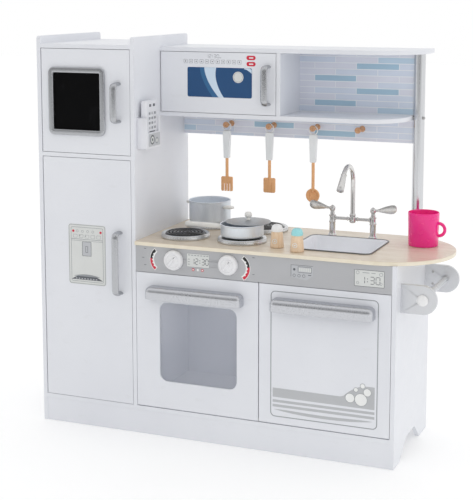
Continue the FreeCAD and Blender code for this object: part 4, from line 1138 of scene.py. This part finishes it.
def make_lid():
    """The pan's domed lid and its knob."""
    low, high = box["pan_lid"]
    r, centre = (high.x - low.x) / 2 / MM, foot(low, high)
    dome = [(0, 5), (r * 0.5, 4), (r - 4, 0.3), (r - 1.2, 0), (r - 0.2, 0.5), (r, 1.3), (r - 0.4, 2.1),
            (r - 1.8, 2.4), (r - 5, 2.4), (r * 0.86, 3.4), (r * 0.7, 4.9), (r * 0.5, 6), (r * 0.3, 6.7),
            (0, 7)]
    lathe("pan_lid_plate", centre, dome, "pan_lid", "lid", ["pan_lid"], 80, angle=45)
    knob = [(4.5, 6.4), (6.2, 7), (5.2, 8.4), (4.4, 10.4), (5.2, 12.4), (8, 14), (9.3, 16), (9.5, 19),
            (9.2, 22.2), (8, 25), (5.6, 26.6), (0, 27)]
    lathe("pan_lid_knob", centre, knob, "pan_lid", "grip", angle=60)


def make_shakers():
    """Salt and pepper shakers: wooden body, domed cap with six holes drawn as small grey studs in painted
    shade, and a printed ring.
    """
    body = [(0, 0), (16, 0), (17.1, 0.6), (17.5, 1.8), (17.4, 4), (16.4, 16), (15.2, 30), (14.3, 39.5),
            (13.6, 40.8), (0, 40.8)]
    dome = [(12.8, 40.2), (14.2, 40.8), (14.9, 41.8), (15, 44), (14.6, 47.5), (13.6, 51.5), (11.8, 55),
            (9, 57.5), (5.5, 58.7), (0, 59)]
    hole_shade_stud = [(0.9, 0), (0.9, 0.5), (0.5, 0.6)]
    for node, cap in (("shaker_white", "cap_white"), ("shaker_blue", "cap_blue")):
        centre = foot(*box[node])
        lathe(node + "_body", centre, body, node, "shaker", [node], 48)
        lathe(node + "_cap", centre, dome, node, cap, (), 48, angle=60)
        # painted shade: the holes are not cut; each is a small raised grey stud whose colour stands for the
        # shade inside the holes
        for number in range(6):
            angle = number * PI / 3
            spot = centre + Vector((0.0052 * math.cos(angle), 0.0052 * math.sin(angle), 0.0583))
            name = "%s_hole_%d" % (node, number)
            lathe(name, spot, hole_shade_stud, node, "ink_line", (), 12, angle=35)
        x, z = centre.x, centre.z + 0.018
        mark = printed(node + "_mark", centre.y - 0.0172, 0.0009,
                       [("eye", x, z, 0.0062, 0.0012), ("disc", x, z, 0.0022)])
        turn_about(math.radians(5), "X", (x, centre.y - 0.0166, z))
        done(mark, node, "ink_white")


def make_mug():
    """The mug: a thin tapered wall on a foot ring, and a round bow handle."""
    low, high = box["mug"]
    radius, middle = (high.y - low.y) / 2, (low + high) / 2
    x, r, h = low.x + radius, radius / MM, (high.z - low.z) / MM
    f = r - 2
    body = [(0, 1.2), (f - 6, 1.2), (f - 4.5, 0), (f - 2.2, 0), (f - 0.6, 0.9), (f, 3), (r - 0.1, h - 4),
            (r, h - 2.2), (r - 0.6, h - 0.6), (r - 1.5, h), (r - 2.5, h - 0.6), (r - 3, h - 3), (f - 3, 8),
            (f - 5, 4.5), (f - 9, 3.4), (0, 3.4)]
    lathe("mug_body", (x, middle.y, low.z), body, "mug", "mug", ["mug"], 72, angle=45)
    ring, bar, tang = 0.016, 0.0041, 0.004
    ring_x = x + radius - 0.001
    handle = round_start("mug_handle", bar, (ring_x - tang, middle.y, middle.z + ring), 20, ALONG_X)
    pull((tang, 0, 0))
    bpy.ops.mesh.spin(steps=24, angle=-PI, center=(ring_x, middle.y, middle.z), axis=(0, 1, 0))
    pull((-tang, 0, 0))
    done(handle, "mug", "mug", angle=60)


def make_towel_holder():
    """The towel rod with its domed cap, and the screws beside its rear plate."""
    low, high = box["towel_rod"]
    middle, cap, start = (low + high) / 2, (high.x - low.x) / 2 / MM, low.y + 0.008
    place, run = (middle.x, start, middle.z), (high.y - start) / MM
    shaft = [(7.3, -run), (7.4, 0.4 - run), (7.4, 0)]
    lathe("towel_bar", place, shaft, "towel_rod", "rod", ["towel_rod"], 40, FACING)
    dome = [(cap - 2, -0.2), (cap - 0.5, 0.2), (cap, 1.4), (cap - 0.3, 3), (cap - 1.8, 5.2), (cap - 4.6, 6.9),
            (cap - 8.5, 7.8), (0, 8)]
    lathe("towel_bar_cap", place, dome, "towel_rod", "cap_white", (), 48, FACING, 60)
    screw = [(3.4, -0.2), (3.4, 0.5), (2.6, 1.1), (1.1, 1.2), (0.9, 0.5), (0, 0.5)]
    for number, offset in enumerate((0.016, -0.016)):
        spot = (middle.x - 0.033, box["towel_plate_rear"][0].y, middle.z + offset)
        lathe("towel_screw_%d" % (number + 1), spot, screw, "root", "steel", (), 20, FACING)


def make_bows():
    """Rounded upright bow handles, each swept as one bar from door to door."""
    half_bar, half_width, bend, tang, gap = 0.0044, 0.0098, 0.0125, 0.004, 0.0002
    waist = (0.94, 1, 0.9)
    for node, body in (("freezer_handle", "freezer_door"), ("fridge_handle", "fridge_door"),
                       ("microwave_handle", "microwave_door")):
        low, high = box[node]
        x, z = (low.x + high.x) / 2, low.z + half_bar + gap
        front, top = low.y + half_bar + bend, high.z - half_bar - gap - bend
        bow = round_start(node + "_bow", half_bar, (x, high.y, z), 32, FACING)
        stretch((half_width / half_bar, 1, 1.12), (x, high.y, z))
        pull((0, -tang, 0), waist, (x, high.y - tang, z))
        pull((0, front - high.y + tang, 0))
        bpy.ops.mesh.spin(steps=10, angle=PI / 2, center=(x, front, z + bend), axis=(1, 0, 0))
        pull((0, 0, top - z - bend))
        bpy.ops.mesh.spin(steps=10, angle=PI / 2, center=(x, front, top), axis=(1, 0, 0))
        pull((0, high.y - tang - front, 0))
        pull((0, tang, 0), [1 / share for share in waist], (x, high.y, top + bend))
        bpy.ops.mesh.edge_face_add()
        done(bow, body, "handle", [node], angle=50)


def make_freezer_frame():
    """The half-round moulding round the freezer's board."""
    low, high = box["freezer_board_frame"]
    outline = [("hoop", low.x, high.x, low.z, high.z, 0.016, 0.0149)]
    moulding = printed("freezer_moulding", high.y, high.y - low.y, outline)
    bevel(moulding, 0.0034, 5, 60)
    done(moulding, "freezer_door", "frame", ["freezer_board_frame"], angle=50)


# ------------------------------------------------------------------ making everything
for make in (make_dispenser, make_gauges, make_oven_clock, make_wash_panel, make_timer, make_knobs, make_hob,
             make_sink, make_faucet, make_microwave_prints, make_tiles, make_dishwasher_prints, make_pegs,
             make_utensils, make_phone_holder, make_handset, make_phone_label, make_pots, make_pot_grips,
             make_lid, make_shakers, make_mug, make_towel_holder, make_bows, make_freezer_frame):
    make()


# ------------------------------------------------------------------ floor, light and camera
def stand(name, data, place, turn=(0, 0, 0)):
    """Put a lamp or a camera in the scene."""
    made = bpy.data.objects.new(name, data)
    bpy.context.scene.collection.objects.link(made)
    made.location = place
    made.rotation_euler = turn
    return made


def make_floor():
    """A wide sheet of matt white paper, a little bright by itself."""
    rest()
    bpy.ops.mesh.primitive_plane_add(size=24, location=(0, 4, -0.0005))
    floor = bpy.context.object
    floor.name = "studio_floor"
    paper = Finish("studio_paper", Roughness=0.9, Emission_Strength=0.22, Emission_Color=(1.0, 1.0, 1.0, 1.0))
    paper.colour(paper.ramp(paper.noise(1.5, 3.0), (0.3, (0.86, 0.86, 0.86)), (0.7, (0.88, 0.88, 0.88))))
    floor.data.materials.append(paper.material)


def make_air():
    """White to the camera; for light and gloss, darker in front of the kitchen than behind it."""
    world = bpy.data.worlds.new("studio_air")
    bpy.context.scene.world = world
    world.use_nodes = True
    tree = world.node_tree
    air = tree.nodes["Background"]
    way, split, shade, seen, choose = (
        tree.nodes.new("ShaderNode" + kind)
        for kind in ("TexCoord", "SeparateXYZ", "MapRange", "LightPath", "Mix"))
    air.inputs["Strength"].default_value = 1.0
    shade.interpolation_type = "SMOOTHSTEP"
    for socket, value in ((1, -1.0), (2, -0.35), (3, 0.36), (4, 0.97)):
        shade.inputs[socket].default_value = value
    choose.data_type = "RGBA"
    choose.inputs[7].default_value = (1, 1, 1, 1)
    for start, end in ((way.outputs["Generated"], split.inputs[0]), (split.outputs[1], shade.inputs[0]),
                       (seen.outputs["Is Camera Ray"], choose.inputs[0]),
                       (shade.outputs[0], choose.inputs[6]), (choose.outputs[2], air.inputs["Color"])):
        tree.links.new(start, end)


def make_lamps():
    """Three large lamps on the kitchen, and a weak one in the oven's cavity."""
    for name, place, size, power in (
            ("lamp_key", (1.6, -3.6, 1.7), 2.8, 18), ("lamp_side", (4.4, -0.8, 1.6), 3.0, 0.5),
            ("lamp_top", (0.2, 0.3, 3.4), 2.6, 2)):
        data = bpy.data.lights.new(name, "AREA")
        data.size, data.energy = size, power
        aim = Vector((0, 0, 0.5)) - Vector(place)
        stand(name, data, place, aim.to_track_quat("-Z", "Y").to_euler()).visible_glossy = False
    low, high = box["oven_door"]
    data = bpy.data.lights.new("lamp_oven", "POINT")
    data.energy, data.shadow_soft_size = 0.3, 0.1
    stand("lamp_oven", data, ((low.x + high.x) / 2, low.y + 0.12, high.z - 0.06)).visible_glossy = False


def make_camera():
    """The view from the front right, a little above the worktop's height."""
    data = bpy.data.cameras.new("studio_camera")
    data.lens, data.sensor_width, data.shift_y = 89.63, 36.0, -0.18
    place, turn = (1.18215, -2.98565, 1.16345), (PI / 2 - 0.1365, 0.0, 0.3875)
    bpy.context.scene.camera = stand("studio_camera", data, place, turn)
    bpy.context.scene.view_settings.view_transform = "Standard"


make_floor()
make_air()
make_lamps()
make_camera()
